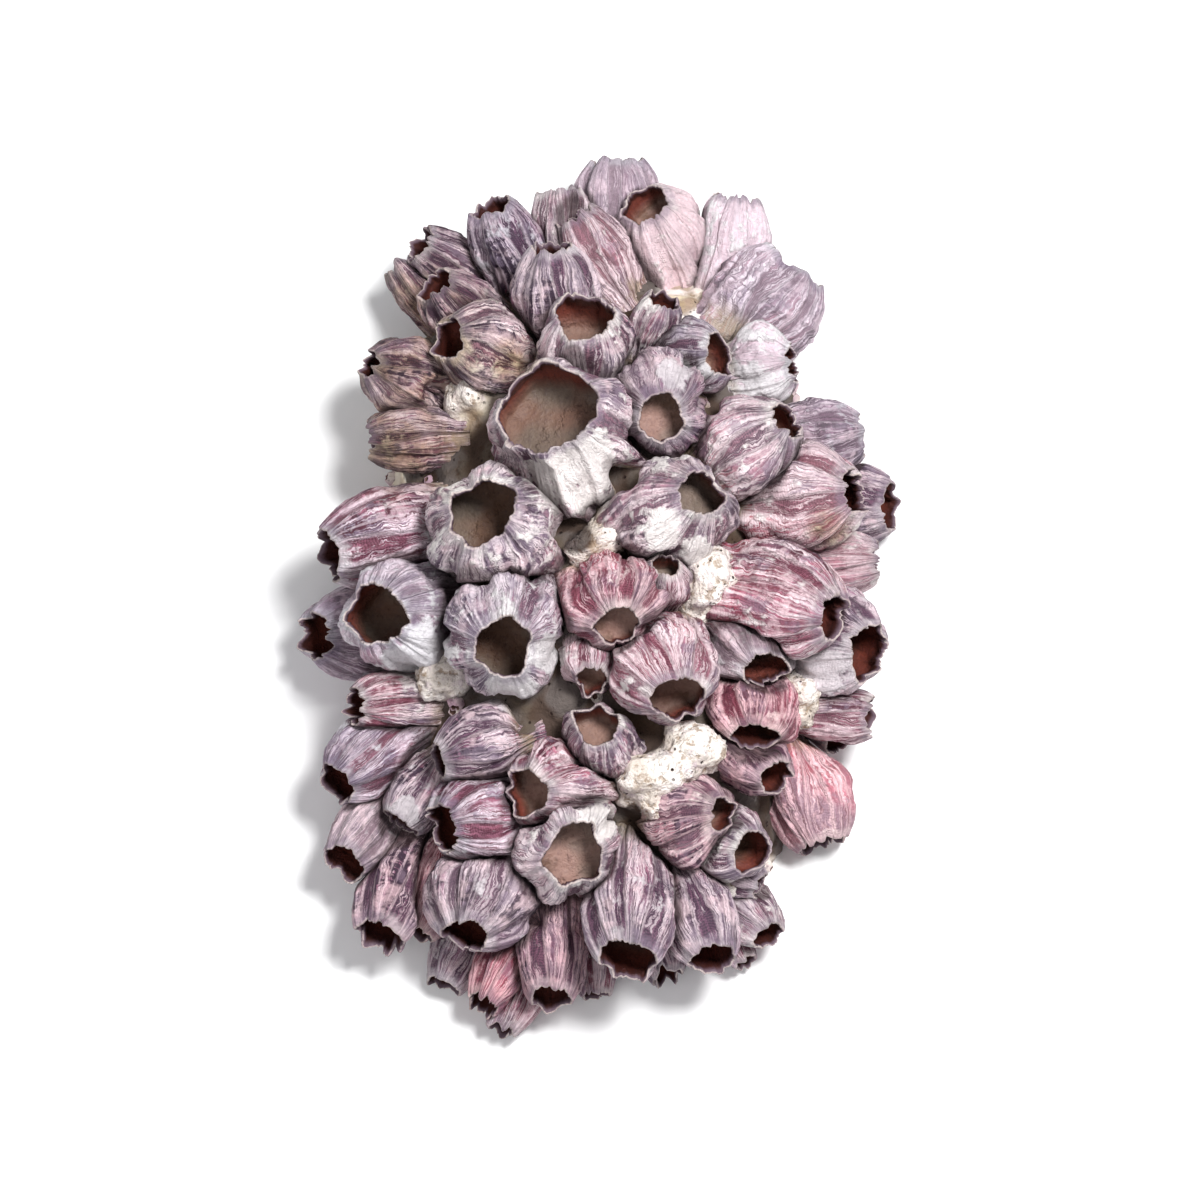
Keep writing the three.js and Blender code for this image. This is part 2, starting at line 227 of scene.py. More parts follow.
def operator(operation: str, swapped: bool = False) -> Callable[..., "Wire"]:
    """A method of wires that adds one Math node.

    Args:
        operation: the node's operation.
        swapped: whether the wire is the second value.

    Returns:
        The method, which takes the operation's other value, if it has one.
    """

    def method(wire: "Wire", *others: "Value") -> "Wire":
        """Adds the node."""
        values = (*others, wire) if swapped else (wire, *others)
        return wire.bench.math(operation, *values)

    return method


class Wire:
    """A node's output that takes part in Python arithmetic by adding Math nodes."""

    def __init__(self, bench: "Bench", socket: NodeSocket) -> None:
        """Keeps the socket and the bench that it belongs to."""
        self.bench = bench
        self.socket = socket

    __add__ = __radd__ = operator("ADD")
    __sub__, __rsub__ = operator("SUBTRACT"), operator("SUBTRACT", swapped=True)
    __mul__ = __rmul__ = operator("MULTIPLY")
    __truediv__, __rtruediv__ = operator("DIVIDE"), operator("DIVIDE", swapped=True)
    __pow__, __abs__ = operator("POWER"), operator("ABSOLUTE")
    sine, cosine = operator("SINE"), operator("COSINE")
    floor, sign, wrap = operator("FLOOR"), operator("SIGN"), operator("FLOORED_MODULO")
    least, most = operator("MINIMUM"), operator("MAXIMUM")

    def out(self, name: Union[str, int]) -> "Wire":
        """Another output of the same node."""
        return Wire(self.bench, self.socket.node.outputs[name])

    def ramp(self, low: float, high: float, smooth: bool = True) -> "Wire":
        """Rises from 0 at low to 1 at high, or falls where low is the larger.

        Args:
            low: the value that gives 0.
            high: the value that gives 1.
            smooth: whether the rise eases in and out.

        Returns:
            The risen value, between 0 and 1.
        """
        kind = "SMOOTHSTEP" if smooth else "LINEAR"
        if low > high:
            return 1 - self.ramp(high, low, smooth)
        sockets = {"Value": self, "From Min": low, "From Max": high}
        return self.bench.node("ShaderNodeMapRange", {"interpolation_type": kind, "clamp": True}, sockets)


Value = Union[Wire, float, int]
Paint = Union[Wire, Colour]


class Bench:
    """Adds nodes to one tree."""

    def __init__(self, tree: NodeTree) -> None:
        """Keeps the tree."""
        self.tree = tree

    def node(self, kind: str, settings: Optional[dict] = None, sockets: Optional[dict] = None) -> Wire:
        """Adds one node.

        Args:
            kind: the node's type.
            settings: the node's own settings, set before its sockets.
            sockets: a value or a wire for each input, by name or number.

        Returns:
            The node's first output.
        """
        node = self.tree.nodes.new(kind)
        for name, value in (settings or {}).items():
            setattr(node, name, value)
        for key, value in (sockets or {}).items():
            if isinstance(value, Wire):
                self.tree.links.new(value.socket, node.inputs[key])
            else:
                node.inputs[key].default_value = value
        return Wire(self, node.outputs[0]) if node.outputs else Wire(self, node.inputs[0])

    def math(self, operation: str, *values: Value) -> Wire:
        """One Math node on one or two values."""
        return self.node("ShaderNodeMath", {"operation": operation}, dict(enumerate(values)))

    def vector(self, x: Value, y: Value, z: Value) -> Wire:
        """Three values as one vector."""
        return self.node("ShaderNodeCombineXYZ", {}, {0: x, 1: y, 2: z})

    def ring(self, angle: Wire, radius: Value, level: Value) -> Wire:
        """A place on a ring round a shell's axis."""
        return self.vector(angle.cosine() * radius, angle.sine() * radius, level)

    def noise(self, place: Wire, scale: float, detail: float = 2.0, roughness: float = 0.5) -> Wire:
        """Soft noise between 0 and 1 at a place."""
        sockets = {"Vector": place, "Scale": scale, "Detail": detail, "Roughness": roughness}
        return self.node("ShaderNodeTexNoise", {"noise_dimensions": "3D"}, sockets)

    def cobbles(self, place: Wire) -> Wire:
        """Distance from the nearest old shell that lies overgrown in the crust, as a share of its width."""
        sockets = {"Vector": place, "Scale": 88.0, "Smoothness": 0.2, "Randomness": 0.9}
        return self.node("ShaderNodeTexVoronoi", {"feature": "SMOOTH_F1"}, sockets)

    def lot(self, first: Value, second: Value) -> Wire:
        """A fixed random number between 0 and 1 for each pair of values."""
        place = self.vector(first, second, 0.37)
        return self.node("ShaderNodeTexWhiteNoise", {"noise_dimensions": "3D"}, {"Vector": place})

    def split(self, vector: Wire) -> Wire:
        """A vector's three values, as outputs 0, 1 and 2."""
        return self.node("ShaderNodeSeparateXYZ", {}, {0: vector})

    def mix(self, share: Value, first: Paint, second: Paint, blend: str = "MIX") -> Wire:
        """Blends two colours: all first at a share of 0, all second at 1."""
        settings = {"data_type": "RGBA", "clamp_factor": True, "blend_type": blend}
        return self.node("ShaderNodeMix", settings, {0: share, 6: first, 7: second}).out(2)

    def layers(self, base: Paint, *layers: tuple[Value, Paint], blend: str = "MIX") -> Wire:
        """Lays colours over a first one in turn, each as thick as its share."""
        for share, colour in layers:
            base = self.mix(share, base, colour, blend)
        return base

    def mark(self, name: str) -> Wire:
        """What a mesh keeps under a name, for a finish."""
        return self.node("ShaderNodeAttribute", {"attribute_name": name}).out("Fac")

    def place(self) -> Wire:
        """The object's own coordinates, for a finish."""
        return self.node("ShaderNodeTexCoord").out("Object")

    def kept(self, name: str) -> Wire:
        """What a mesh keeps under a name, for a tree of geometry."""
        return self.node("GeometryNodeInputNamedAttribute", {"data_type": "FLOAT"}, {"Name": name})

    def coat(
        self, colour: Wire, roughness: Value, relief: Wire, strength: float, deep: float, shine: float
    ) -> None:
        """Ends a material.

        Args:
            colour: its colour.
            roughness: its roughness.
            relief: the height of its fine relief.
            strength: how strongly the relief shows.
            deep: the relief's depth, in metres.
            shine: the share of light that the surface mirrors.
        """
        normal = self.node("ShaderNodeBump", {}, {"Strength": strength, "Distance": deep, "Height": relief})
        sockets = {"Base Color": colour, "Roughness": roughness, "Normal": normal}
        skin = self.node("ShaderNodeBsdfPrincipled", {}, {**sockets, "Specular IOR Level": shine})
        self.node("ShaderNodeOutputMaterial", {}, {"Surface": skin})

    def dress(self, geometry: Wire, finish: Wire) -> None:
        """Ends a tree of geometry: made real and given its finish."""
        real = self.node("GeometryNodeRealizeInstances", {}, {"Geometry": geometry})
        dressed = self.node("GeometryNodeSetMaterial", {}, {"Geometry": real, "Material": finish})
        self.node("NodeGroupOutput", {}, {"Geometry": dressed})


def blank_material(name: str) -> tuple[Material, Bench]:
    """A new material without nodes, and the bench to fill it on."""
    made = bpy.data.materials.new(name)
    made.use_nodes = True
    made.node_tree.nodes.clear()
    return made, Bench(made.node_tree)


def blank_tree(name: str, inputs: dict[str, Any]) -> tuple[NodeTree, dict[str, str]]:
    """Starts a tree of geometry.

    Args:
        name: the tree's name.
        inputs: each input's default, or the kind of its socket where it has none.

    Returns:
        The tree, and each input's identifier by its name.
    """
    tree = bpy.data.node_groups.new(name, "GeometryNodeTree")
    keys: dict[str, str] = {}
    for key, value in {"Geometry": "Geometry", **inputs}.items():
        kind = value if isinstance(value, str) else "Int" if isinstance(value, int) else "Float"
        socket = tree.interface.new_socket(key, in_out="INPUT", socket_type=f"NodeSocket{kind}")
        keys[key] = socket.identifier
        if not isinstance(value, str):
            socket.default_value = value
    tree.interface.new_socket("Geometry", in_out="OUTPUT", socket_type="NodeSocketGeometry")
    return tree, keys


class Mould:
    """The rule that every shell grows by, as a Geometry Nodes tree with named sizes."""

    SIZES: dict[str, Any] = {
        "Mouth": 6 * MM,
        "Girth": 10 * MM,
        "Length": 25 * MM,
        "Wall": 0.85 * MM,
        "Foot Share": 1.25,
        "Foot Depth": -0.25,
        "Belly": 0.5,
        "Floor": 0.4,
        "Plates": 6.0,
        "Phase": 0.0,
        "Relief": 0.09,
        "Seam Width": 0.56,
        "Tooth": 0.7 * MM,
        "Chip": 1.2 * MM,
        "Rib Depth": 0.42 * MM,
        "Ribs": 4.0,
        "Seed": 1.0,
        "Darkness": 0.5,
        "Rosiness": 0.5,
        "Chalk": 0.5,
        "Fade": 0.0,
        "Warmth": 0.0,
        "Plug": 0.0,
        "Ledge": 1.0 * MM,
        "Columns": 18,
        "Finish": "Material",
    }

    def __init__(self) -> None:
        """Builds the tree and keeps each input's identifier."""
        self.tree, self.keys = blank_tree("barnacle shell", self.SIZES)
        self._grow()

    def _grow(self) -> None:
        """Fills the tree: a sheet of columns and rows, bent into a walled cup."""
        bench = Bench(self.tree)
        given = bench.node("NodeGroupInput")
        size = {name: given.out(name) for name in self.SIZES}
        plates, seed = size["Plates"], size["Seed"]
        sockets = {"Vertices X": plates * size["Columns"] + 1, "Vertices Y": ROWS + 1}
        sheet = bench.node("GeometryNodeMeshGrid", {}, {"Size X": 1.0, "Size Y": 1.0, **sockets})
        split = bench.split(sheet.out("UV Map"))
        row = split.out(1) * ROWS

        def stage(first: int, last: int) -> Wire:
            """Goes from 0 to 1 between two of the sheet's rows."""
            return ((row - first) / (last - first)).most(0).least(1)

        foot = 1 - row.least(WALL_FROM)
        climb, lip = stage(WALL_FROM, LIP_FROM), stage(LIP_FROM, THROAT_FROM)
        depth, bed = stage(THROAT_FROM, BED_FROM), stage(BED_FROM, ROWS)
        share = size["Foot Depth"] + (1 - size["Foot Depth"]) * climb - (1 - size["Floor"]) * depth

        plate = split.out(0) * plates
        number = (plate + 0.5).floor()
        side = plate - number
        sideways = abs(side) * 2
        height = climb.ramp(0.05, 1.0, smooth=False)
        seam = size["Seam Width"] * (0.05 + 0.95 * height**1.3)
        inside_edge = (sideways / PARIES_EDGE).least(1) * (1 - seam)
        past_edge = ((sideways - PARIES_EDGE) / (1 - PARIES_EDGE)).most(0) * seam
        reach = inside_edge + past_edge
        turn = math.tau / plates * (number + side.sign() * reach / 2 + size["Phase"] / 2)
        swing = 0.05 * (3 * turn + 5 * height + seed * 4.1).sine()
        angle = turn + 0.2 * (turn + seed * 1.7).sine() + 0.11 * (2 * turn + seed * 2.9).sine() + swing
        lot = bench.lot(number.wrap(plates), seed)
        chips = bench.noise(bench.ring(angle, 1, seed), 2.3, 4.0, 0.62)
        waves = bench.noise(bench.ring(angle, 1.2, share * 1.3 + seed), 1.0)

        rim = size["Mouth"] + size["Wall"]
        flare = 1 + (size["Foot Share"] - 1) * (1 - share.most(0) / size["Belly"]).most(0) ** 2
        narrow = ((share - size["Belly"]) / (1 - size["Belly"])).most(0) ** NARROWING
        radius = (rim + (size["Girth"] - rim) * (1 - narrow)) * flare
        corners = 0.06 * (3 * angle + seed * 1.3).cosine() * height
        radius = radius * (1 + OVAL * (2 * angle + seed).cosine() + corners)
        raised = sideways.ramp(PARIES_EDGE + 0.05, PARIES_EDGE - 0.05)
        bulge = raised * (1 - 0.55 * (sideways / PARIES_EDGE) ** 2) - (1 - raised) * 0.9
        outside = 1 - lip
        rib = (side * 2 / PARIES_EDGE * math.pi * size["Ribs"] + lot * 6).cosine()
        ribbing = rib * raised * size["Rib Depth"] * (1.15 - height) * outside
        lean = 0.16 * (lot - 0.5) * height**2 * (1 - sideways**2)
        lumps = bench.noise(bench.ring(angle, 2.6, share * 5 + seed), 1.0, 3.0)
        folded = size["Relief"] * bulge * (1 - 0.15 * lip) * (1 - 0.5 * height**5)
        uneven = 1 + folded + 0.22 * (waves - 0.5) + lean + 0.22 * (lumps - 0.5)
        ledge = 0.5 - (share * 2.4 + lot * 3 + waves * 2.2).wrap(1)
        radius = radius * uneven + ribbing + size["Ledge"] * ledge * (1.1 - height)
        radius = (radius - size["Wall"] * (lip + 1.1 * depth)) * (1 - bed) * (1 - foot)

        tooth = size["Tooth"] * ((0.1 + 1.5 * lot) * (1 - 1.9 * sideways**1.5))
        broken = size["Chip"] * (chips.ramp(0.46, 0.66) - 0.3)
        top = (tooth - broken) * climb.ramp(0.5, 1.0) * (1 - depth.ramp(0.0, 0.4))
        bead = (lip * math.pi).sine() * size["Wall"] * 0.35
        level = share * size["Length"] + top + bead - 0.05 * size["Length"] * bed
        place = bench.ring(angle, radius, level)

        shaped = bench.node("GeometryNodeSetPosition", {}, {"Geometry": sheet, "Position": place})
        looks = ["Darkness", "Rosiness", "Fade", "Warmth", "Plug"]
        marks = {
            "POINT": {"inner": lip, "depth": depth * 0.75 + bed * 0.25, "chalk": size["Chalk"]},
            "FACE": {
                "plate_tone": lot,
                "seam_tone": bench.lot(plate.floor(), seed + 5.5),
                "turns": math.tau / plates,
                **{name.lower(): size[name] for name in looks},
            },
        }
        rows = [("shell_uv", "FLOAT2", "CORNER", bench.vector(plate, share, 0.0))]
        for domain, group in marks.items():
            rows += [(name, "FLOAT", domain, mark) for name, mark in group.items()]
        for name, kind, domain, value in rows:
            settings = {"data_type": kind, "domain": domain}
            sockets = {"Geometry": shaped, "Name": name, "Value": value}
            shaped = bench.node("GeometryNodeStoreNamedAttribute", settings, sockets)
        closed = bench.node("GeometryNodeMergeByDistance", {}, {"Geometry": shaped, "Distance": 0.001 * MM})
        smooth = bench.node("GeometryNodeSetShadeSmooth", {}, {"Geometry": closed, "Shade Smooth": True})
        bench.dress(smooth, size["Finish"])

    def cast(self, name: str, sizes: dict[str, Any]) -> Object:
        """Grows one shell in its own frame, its root at the origin and its mouth up.

        Args:
            name: the new object's name.
            sizes: the tree's inputs that differ from their defaults.

        Returns:
            A plain mesh object.
        """
        return grown_mesh(name, bpy.data.meshes.new(name), self.tree, self.keys, sizes)


def add_object(name: str, data: Any) -> Object:
    """A new object in the scene."""
    thing = bpy.data.objects.new(name, data)
    bpy.context.scene.collection.objects.link(thing)
    return thing


def evaluated_mesh(thing: Object) -> Mesh:
    """An object's mesh with its modifiers applied, as a plain mesh."""
    graph = bpy.context.evaluated_depsgraph_get()
    return bpy.data.meshes.new_from_object(thing.evaluated_get(graph), depsgraph=graph)


def grown_mesh(
    name: str, start: Mesh, tree: NodeTree, keys: dict[str, str], values: dict[str, Any]
) -> Object:
    """Runs a Geometry Nodes tree on a mesh and keeps the result as a plain mesh.

    Args:
        name: the new object's name.
        start: the mesh that the tree starts from.
        tree: the tree.
        keys: each input's identifier by its name.
        values: the inputs to set, by name.

    Returns:
        An object with the finished mesh and no modifier.
    """
    thing = add_object(name, start)
    growth = thing.modifiers.new("growth", "NODES")
    growth.node_group = tree
    for key, value in values.items():
        growth[keys[key]] = value
    made = evaluated_mesh(thing)
    thing.modifiers.clear()
    thing.data = made
    made.name = name
    return thing


def points_of(mesh: Mesh) -> np.ndarray:
    """A mesh's points, one to a row."""
    flat = np.empty(len(mesh.vertices) * 3)
    mesh.vertices.foreach_get("co", flat)
    return flat.reshape(-1, 3)


def move_points(mesh: Mesh, points: np.ndarray) -> None:
    """Gives a mesh's points new places."""
    mesh.vertices.foreach_set("co", np.ascontiguousarray(points, dtype=np.float32).ravel())
    mesh.update()


def read_mark(mesh: Mesh, name: str) -> np.ndarray:
    """What a mesh keeps under a name, point by point."""
    values = np.empty(len(mesh.vertices), dtype=np.float32)
    mesh.attributes[name].data.foreach_get("value", values)
    return values


def write_mark(mesh: Mesh, name: str, values: Any) -> None:
    """Keeps a value for each point of a mesh under a name."""
    mark = mesh.attributes.get(name) or mesh.attributes.new(name, "FLOAT", "POINT")
    mark.data.foreach_set("value", np.asarray(values, dtype=np.float32))


@dataclass(frozen=True)
class ShellFinish:
    """The finish of a shell: ribbed plates, dark seams, a worn pale rim and a brown inside with painted shade
    under its rim, and painted shade mixed with dirt at the foot and where shells crowd.
    """

    name: str
    pale: Colour
    mid: Colour
    rose: Colour
    dark: Colour
    worn: Colour
    maroon: Colour
    grey: Colour = paint(130, 113, 130)
    rim: Colour = paint(190, 174, 168)
    # Inside colours: painted shade, darkest just under the rim; the inner wall's brown is partly painted
    # shade; the floor is lighter
    throat_shade: Colour = paint(62, 29, 24)
    wall: Colour = paint(116, 56, 44)
    bed: Colour = paint(110, 82, 66)
    plug: Colour = paint(158, 124, 113)
    silt: Colour = paint(108, 100, 90)
    coral: Colour = paint(255, 202, 204)
    frost: Colour = paint(226, 236, 250)
    # Tan towards the foot: partly dirt, partly painted shade at the base
    dirt: Colour = paint(172, 152, 122)
    # Dark brown where shells crowd each other: partly dirt, partly painted shade in the crevices
    crevice_dirt_and_shade: Colour = paint(50, 31, 28)
    smear: Colour = paint(196, 178, 146)
    blush: Colour = paint(234, 205, 211)

    def material(self) -> Material:
        """Builds the material.

        Returns:
            A material that reads the shell's own map and attributes and the object's coordinates.
        """
        made, bench = blank_material(self.name)
        place = bench.place()
        split = bench.split(bench.node("ShaderNodeUVMap", {"uv_map": "shell_uv"}))
        plate, height = split.out(0), split.out(1)
        given = {name: bench.mark(name) for name in MARKS}
        side = plate - (plate + 0.5).floor()
        sideways = abs(side) * 2
        lot = given["plate_tone"]
        blotch = bench.noise(place, 95.0, 4.0, 0.6)
        patch = bench.noise(place, 260.0, 3.0, 0.6)
        angle = plate * given["turns"] + (blotch - 0.5) * 0.42 + (patch - 0.5) * 0.1
        grain = bench.noise(place, 900.0, 3.0, 0.65)
        zone = bench.noise(place, 42.0, 2.0)
        moved = bench.node("ShaderNodeVectorMath", {"operation": "ADD"}, {0: place, 1: (3, 1, 2)})
        tract = bench.noise(moved, 55.0)
        cloud = bench.noise(moved, 150.0, 4.0, 0.62)
        shift = lot * 3 + patch * 0.3
        broad = bench.noise(bench.ring(angle, 6.5, height * 1.8 + shift), 0.9, 3.0)
        fine = bench.noise(bench.ring(angle, 22, height * 2.6 + shift), 1.1, 4.0, 0.65)
        thin = bench.noise(bench.ring(angle, 34, height * 2.4 - shift), 1.1, 2.0)
        bands = bench.noise(bench.vector(height * 9 + shift, lot * 7, 0.0), 2.2, 3.0, 0.6)

        # Ribbed plates, pale with rosy, grey and dark stripes
        ragged = (patch - 0.5) * 0.2 + (fine - 0.5) * 0.5
        seam = (sideways + ragged).ramp(PARIES_EDGE - 0.04, PARIES_EDGE + 0.04)
        low = height.ramp(0.75, 0.15)
        ribs = (side * 2 / PARIES_EDGE * math.pi * 4 + lot * 6 + broad * 4).cosine() * 0.5 + 0.5
        striped = broad * 0.45 + fine * 0.55 + (tract - 0.5) * 0.35
        rosy = fine.ramp(0.49, 0.55) * (0.2 + 0.8 * low) * given["rosiness"] * zone.ramp(0.68, 0.45)
        streak = (broad * 0.6 + bands * 0.4).ramp(0.47, 0.54) * given["darkness"]
        streak = streak * (0.3 + 1.2 * tract.ramp(0.4, 0.56))
        plated = bench.layers(
            self.pale,
            (striped.ramp(0.45, 0.54), bench.mix(zone.ramp(0.43, 0.57), self.mid, self.grey)),
            (rosy, self.rose),
            (height.ramp(0.5, 0.95) * blotch.ramp(0.35, 0.65) * 0.5, self.grey),
            (streak * (0.4 + 0.6 * lot.ramp(0.15, 0.7)), self.dark),
            (thin.ramp(0.53, 0.6) * 0.8, bench.mix(zone.ramp(0.45, 0.55), self.maroon, self.dark)),
            (ribs.ramp(0.7, 0.97) * thin.ramp(0.58, 0.48) * (0.4 + 0.4 * low), self.pale),
            (cloud.ramp(0.51, 0.62) * 0.5, self.blush),
            (cloud.ramp(0.47, 0.38) * height.ramp(0.15, 0.6) * 0.55, self.grey),
        )

        # Sunk seams, wear and dirt, with painted shade mixed in at the foot and where shells crowd
        lines = (height * 260 + broad * 22).sine() * 0.5 + 0.5
        sunk = bench.layers(
            self.dark,
            (broad.ramp(0.5, 0.66) * (1.2 - height), self.maroon),
            (lines * 0.2 + fine.ramp(0.48, 0.62) * 0.4, self.mid),
            (thin.ramp(0.5, 0.42) * cloud.ramp(0.42, 0.56) * 0.6, self.pale),
        )
        toned = (given["seam_tone"] * 0.8 + given["darkness"] * 0.5).ramp(0.35, 0.75)
        sunk = bench.mix(toned * (0.4 + 0.6 * height.ramp(0.1, 0.45)), plated, sunk)
        edge = abs(sideways - PARIES_EDGE).ramp(0.09, 0.01)
        chalky = (blotch * 0.6 + patch * 0.4 + given["chalk"] * 0.2 + ribs * 0.03).ramp(0.65, 0.74)
        near_rim = (height + (patch - 0.5) * 0.12).ramp(0.9, 0.985)
        # Browner towards the foot: partly dirt, partly painted shade at the base
        foot_dirt_and_shade = height.ramp(0.22, -0.04) * blotch.ramp(0.4, 0.6)
        washed = bench.mix(fine.ramp(0.4, 0.6) * 0.5, self.blush, self.pale)
        outer = bench.layers(
            plated,
            (seam, sunk),
            (edge * fine.ramp(0.35, 0.6) * 0.7, self.pale),
            (given["fade"] * (0.8 + 0.4 * blotch), washed),
            (chalky * 0.9, self.worn),
            (near_rim * 0.6, bench.mix(blotch.ramp(0.4, 0.6), self.grey, self.worn)),
            (foot_dirt_and_shade * 0.75, self.dirt),
        )
        outer = bench.layers(
            outer,
            (given["warmth"].most(0), self.coral),
            ((0 - given["warmth"]).most(0), self.frost),
            (given["dirt"] * (0.35 + 0.6 * blotch.ramp(0.35, 0.65)), self.smear),
            blend="MULTIPLY",
        )
        # Painted shade and dirt in the crevices where shells crowd against their neighbours
        packed_dirt_and_shade = (given["crowding"] + (patch - 0.5) * 0.4).ramp(0.5, 1.0)
        outer = bench.mix(packed_dirt_and_shade * 0.75, outer, self.crevice_dirt_and_shade)

        # The brown inside, with painted shade that is darkest just under the rim, its floor and the worn rim
        bed = bench.layers(
            self.bed,
            (given["plug"] * blotch.ramp(0.3, 0.5), self.plug),
            (zone.ramp(0.44, 0.58) * 0.7, self.silt),
        )
        # Painted shade inside the mouth: darkest just under the rim and lighter towards the floor, over the
        # inside's own brown
        deep = bench.layers(
            self.throat_shade,
            (given["depth"].ramp(0.04, 0.4), self.wall),
            (given["depth"].ramp(0.4, 0.8), bed),
            (fine.ramp(0.45, 0.7) * 0.35 * given["depth"].ramp(0.9, 0.5), self.throat_shade),
            (given["depth"].ramp(0.08, 0.0) * 0.5, self.grey),
        )
        lip = given["inner"].ramp(0.02, 0.35) * given["inner"].ramp(1.0, 0.75)
        shown = bench.layers(
            outer,
            (given["inner"].ramp(0.45, 0.9), deep),
            (lip * (0.35 + 0.4 * blotch.ramp(0.36, 0.6)), self.rim),
            (grain.ramp(0.42, 0.75) * 0.25, self.dark),
        )

        outside = 1 - given["inner"]
        relief = ribs * (1 - seam) * (0.6 + 0.4 * low) + fine * 1.8 + lines * 0.12
        relief = relief * outside + grain * 0.8 + patch * 1.4 + chalky * 0.6 - seam * outside * 0.6
        rough = 0.6 + chalky * 0.22 - seam * 0.12 + grain * 0.15
        bench.coat(shown, rough, relief, 0.9, 0.55 * MM, 0.35)
        return made


@dataclass(frozen=True)
class CrustFinish:
    """The finish of the lime crust: cream and yellow-beige, porous, stained in its dips, with painted shade
    in its pores and deep between shells.
    """

    name: str = "crust"
    cream: Colour = paint(247, 239, 233)
    straw: Colour = paint(216, 201, 172)
    stain: Colour = paint(140, 112, 84)
    # Painted shade for small pores and for the crust deep between shells
    pit: Colour = paint(48, 30, 24)
    lilac: Colour = paint(196, 176, 186)

    def material(self) -> Material:
        """Builds the material.

        Returns:
            A material on the object's coordinates.
        """
        made, bench = blank_material(self.name)
        place = bench.place()
        broad = bench.noise(place, 60.0, 3.0, 0.55)
        patch = bench.noise(place, 190.0, 4.0, 0.6)
        grain = bench.noise(place, 1100.0, 3.0, 0.65)
        cells = bench.node("ShaderNodeTexVoronoi", {"feature": "F1"}, {"Vector": place, "Scale": 420.0})
        holes = cells.ramp(0.24, 0.12) * patch.ramp(0.5, 0.62)
        creases = (bench.cobbles(place) + (patch - 0.5) * 0.3).ramp(0.42, 0.62)
        crumb = bench.noise(place, 330.0, 4.0, 0.65)
        lump, open_air = bench.mark("lump"), bench.mark("open_air")
        shade = bench.layers(
            self.cream,
            (broad.ramp(0.42, 0.66) * (1 - 0.75 * lump), self.straw),
            (patch.ramp(0.56, 0.72) * 0.5, self.lilac),
            (patch.ramp(0.46, 0.3) * broad.ramp(0.4, 0.6), self.stain),
            (grain.ramp(0.55, 0.8) * 0.4, self.straw),
            (creases * 0.75 * (1 - 0.6 * lump), self.stain),
            (lump * crumb.ramp(0.47, 0.36) * 0.7, self.stain),
            (lump * crumb.ramp(0.56, 0.64) * broad.ramp(0.6, 0.45) * 0.5, self.lilac),
            # Painted shade in small pores
            (holes, self.pit),
            # Painted shade: the crust darkens where it lies deep between shells, away from open air
            ((open_air + (patch - 0.5) * 0.5).ramp(0.75, 0.2) * 0.9, self.pit),
        )
        relief = patch * 2.0 + grain * 0.8 - holes * 2.0 + lump * crumb * 4
        bench.coat(shade, 0.78 + grain * 0.2, relief, 0.9, 0.7 * MM, 0.3)
        return made


FINISHES: dict[Tint, ShellFinish] = {
    Tint.SLATE: ShellFinish(
        "slate_shell",
        pale=paint(222, 202, 209),
        mid=paint(144, 100, 124),
        rose=paint(166, 88, 104),
        dark=paint(58, 42, 58),
        worn=paint(208, 199, 203),
        maroon=paint(82, 56, 74),
    ),
    Tint.ROSE: ShellFinish(
        "rose_shell",
        pale=paint(242, 220, 225),
        mid=paint(184, 114, 134),
        rose=paint(170, 76, 94),
        dark=paint(86, 42, 56),
        worn=paint(226, 217, 216),
        maroon=paint(114, 54, 64),
    ),
    Tint.PALE: ShellFinish(
        "pale_shell",
        pale=paint(241, 224, 228),
        mid=paint(184, 134, 150),
        rose=paint(188, 112, 126),
        dark=paint(66, 48, 64),
        worn=paint(238, 231, 228),
        maroon=paint(98, 66, 82),
    ),
}

# The tables below name shells without the word barnacle
# Shells washed with coral, above 0, or with slate blue, below 0
WARMTH: dict[str, float] = {
    "front_7": 0.6, "front_11": 0.2, "front_10": 0.5, "front_6": 0.4, "front_1": 0.3, "right_9": 0.5,
    "right_11": 0.4, "right_12": 0.4, "middle_2": 0.3, "top_1": -0.4, "top_11": -0.4, "top_12": -0.4,
    "top_13": -0.5, "top_14": -0.4, "top_15": -0.4, "left_3": -0.4, "left_4": -0.5, "left_5": -0.5,
    "left_6": -0.3, "left_8": -0.6, "left_12": -0.5, "right_2": -0.4,
}

# Shells with a raised pale floor, and how pale it is
PLUGS: dict[str, float] = {
    "great": 0.25, "top_9": 0.5, "top_10": 1.0, "top_14": 0.8, "top_15": 0.6, "top_16": 1.0,
    "left_1": 0.5, "left_11": 0.7, "middle_1": 0.8, "middle_2": 1.0, "middle_3": 0.8, "middle_4": 0.6,
    "middle_5": 0.8, "middle_6": 1.0, "right_1": 0.8, "right_4": 0.8, "front_1": 0.7, "front_5": 0.5,
    "front_7": 0.4, "young_3": 0.6, "young_4": 0.8,
}

# Shells with a mouth pressed flat from below, and by how much
PINCHED: dict[str, float] = {"great": 0.36, "middle_1": 0.25, "left_2": -0.1}

# Darkness, rosiness, chalk and fade of each tint's shells
LOOKS: dict[Tint, Look] = {
    Tint.SLATE: (0.9, 0.4, 0.3, 0.0),
    Tint.ROSE: (0.6, 0.95, 0.25, 0.0),
    Tint.PALE: (0.55, 0.45, 0.5, 0.0),
}

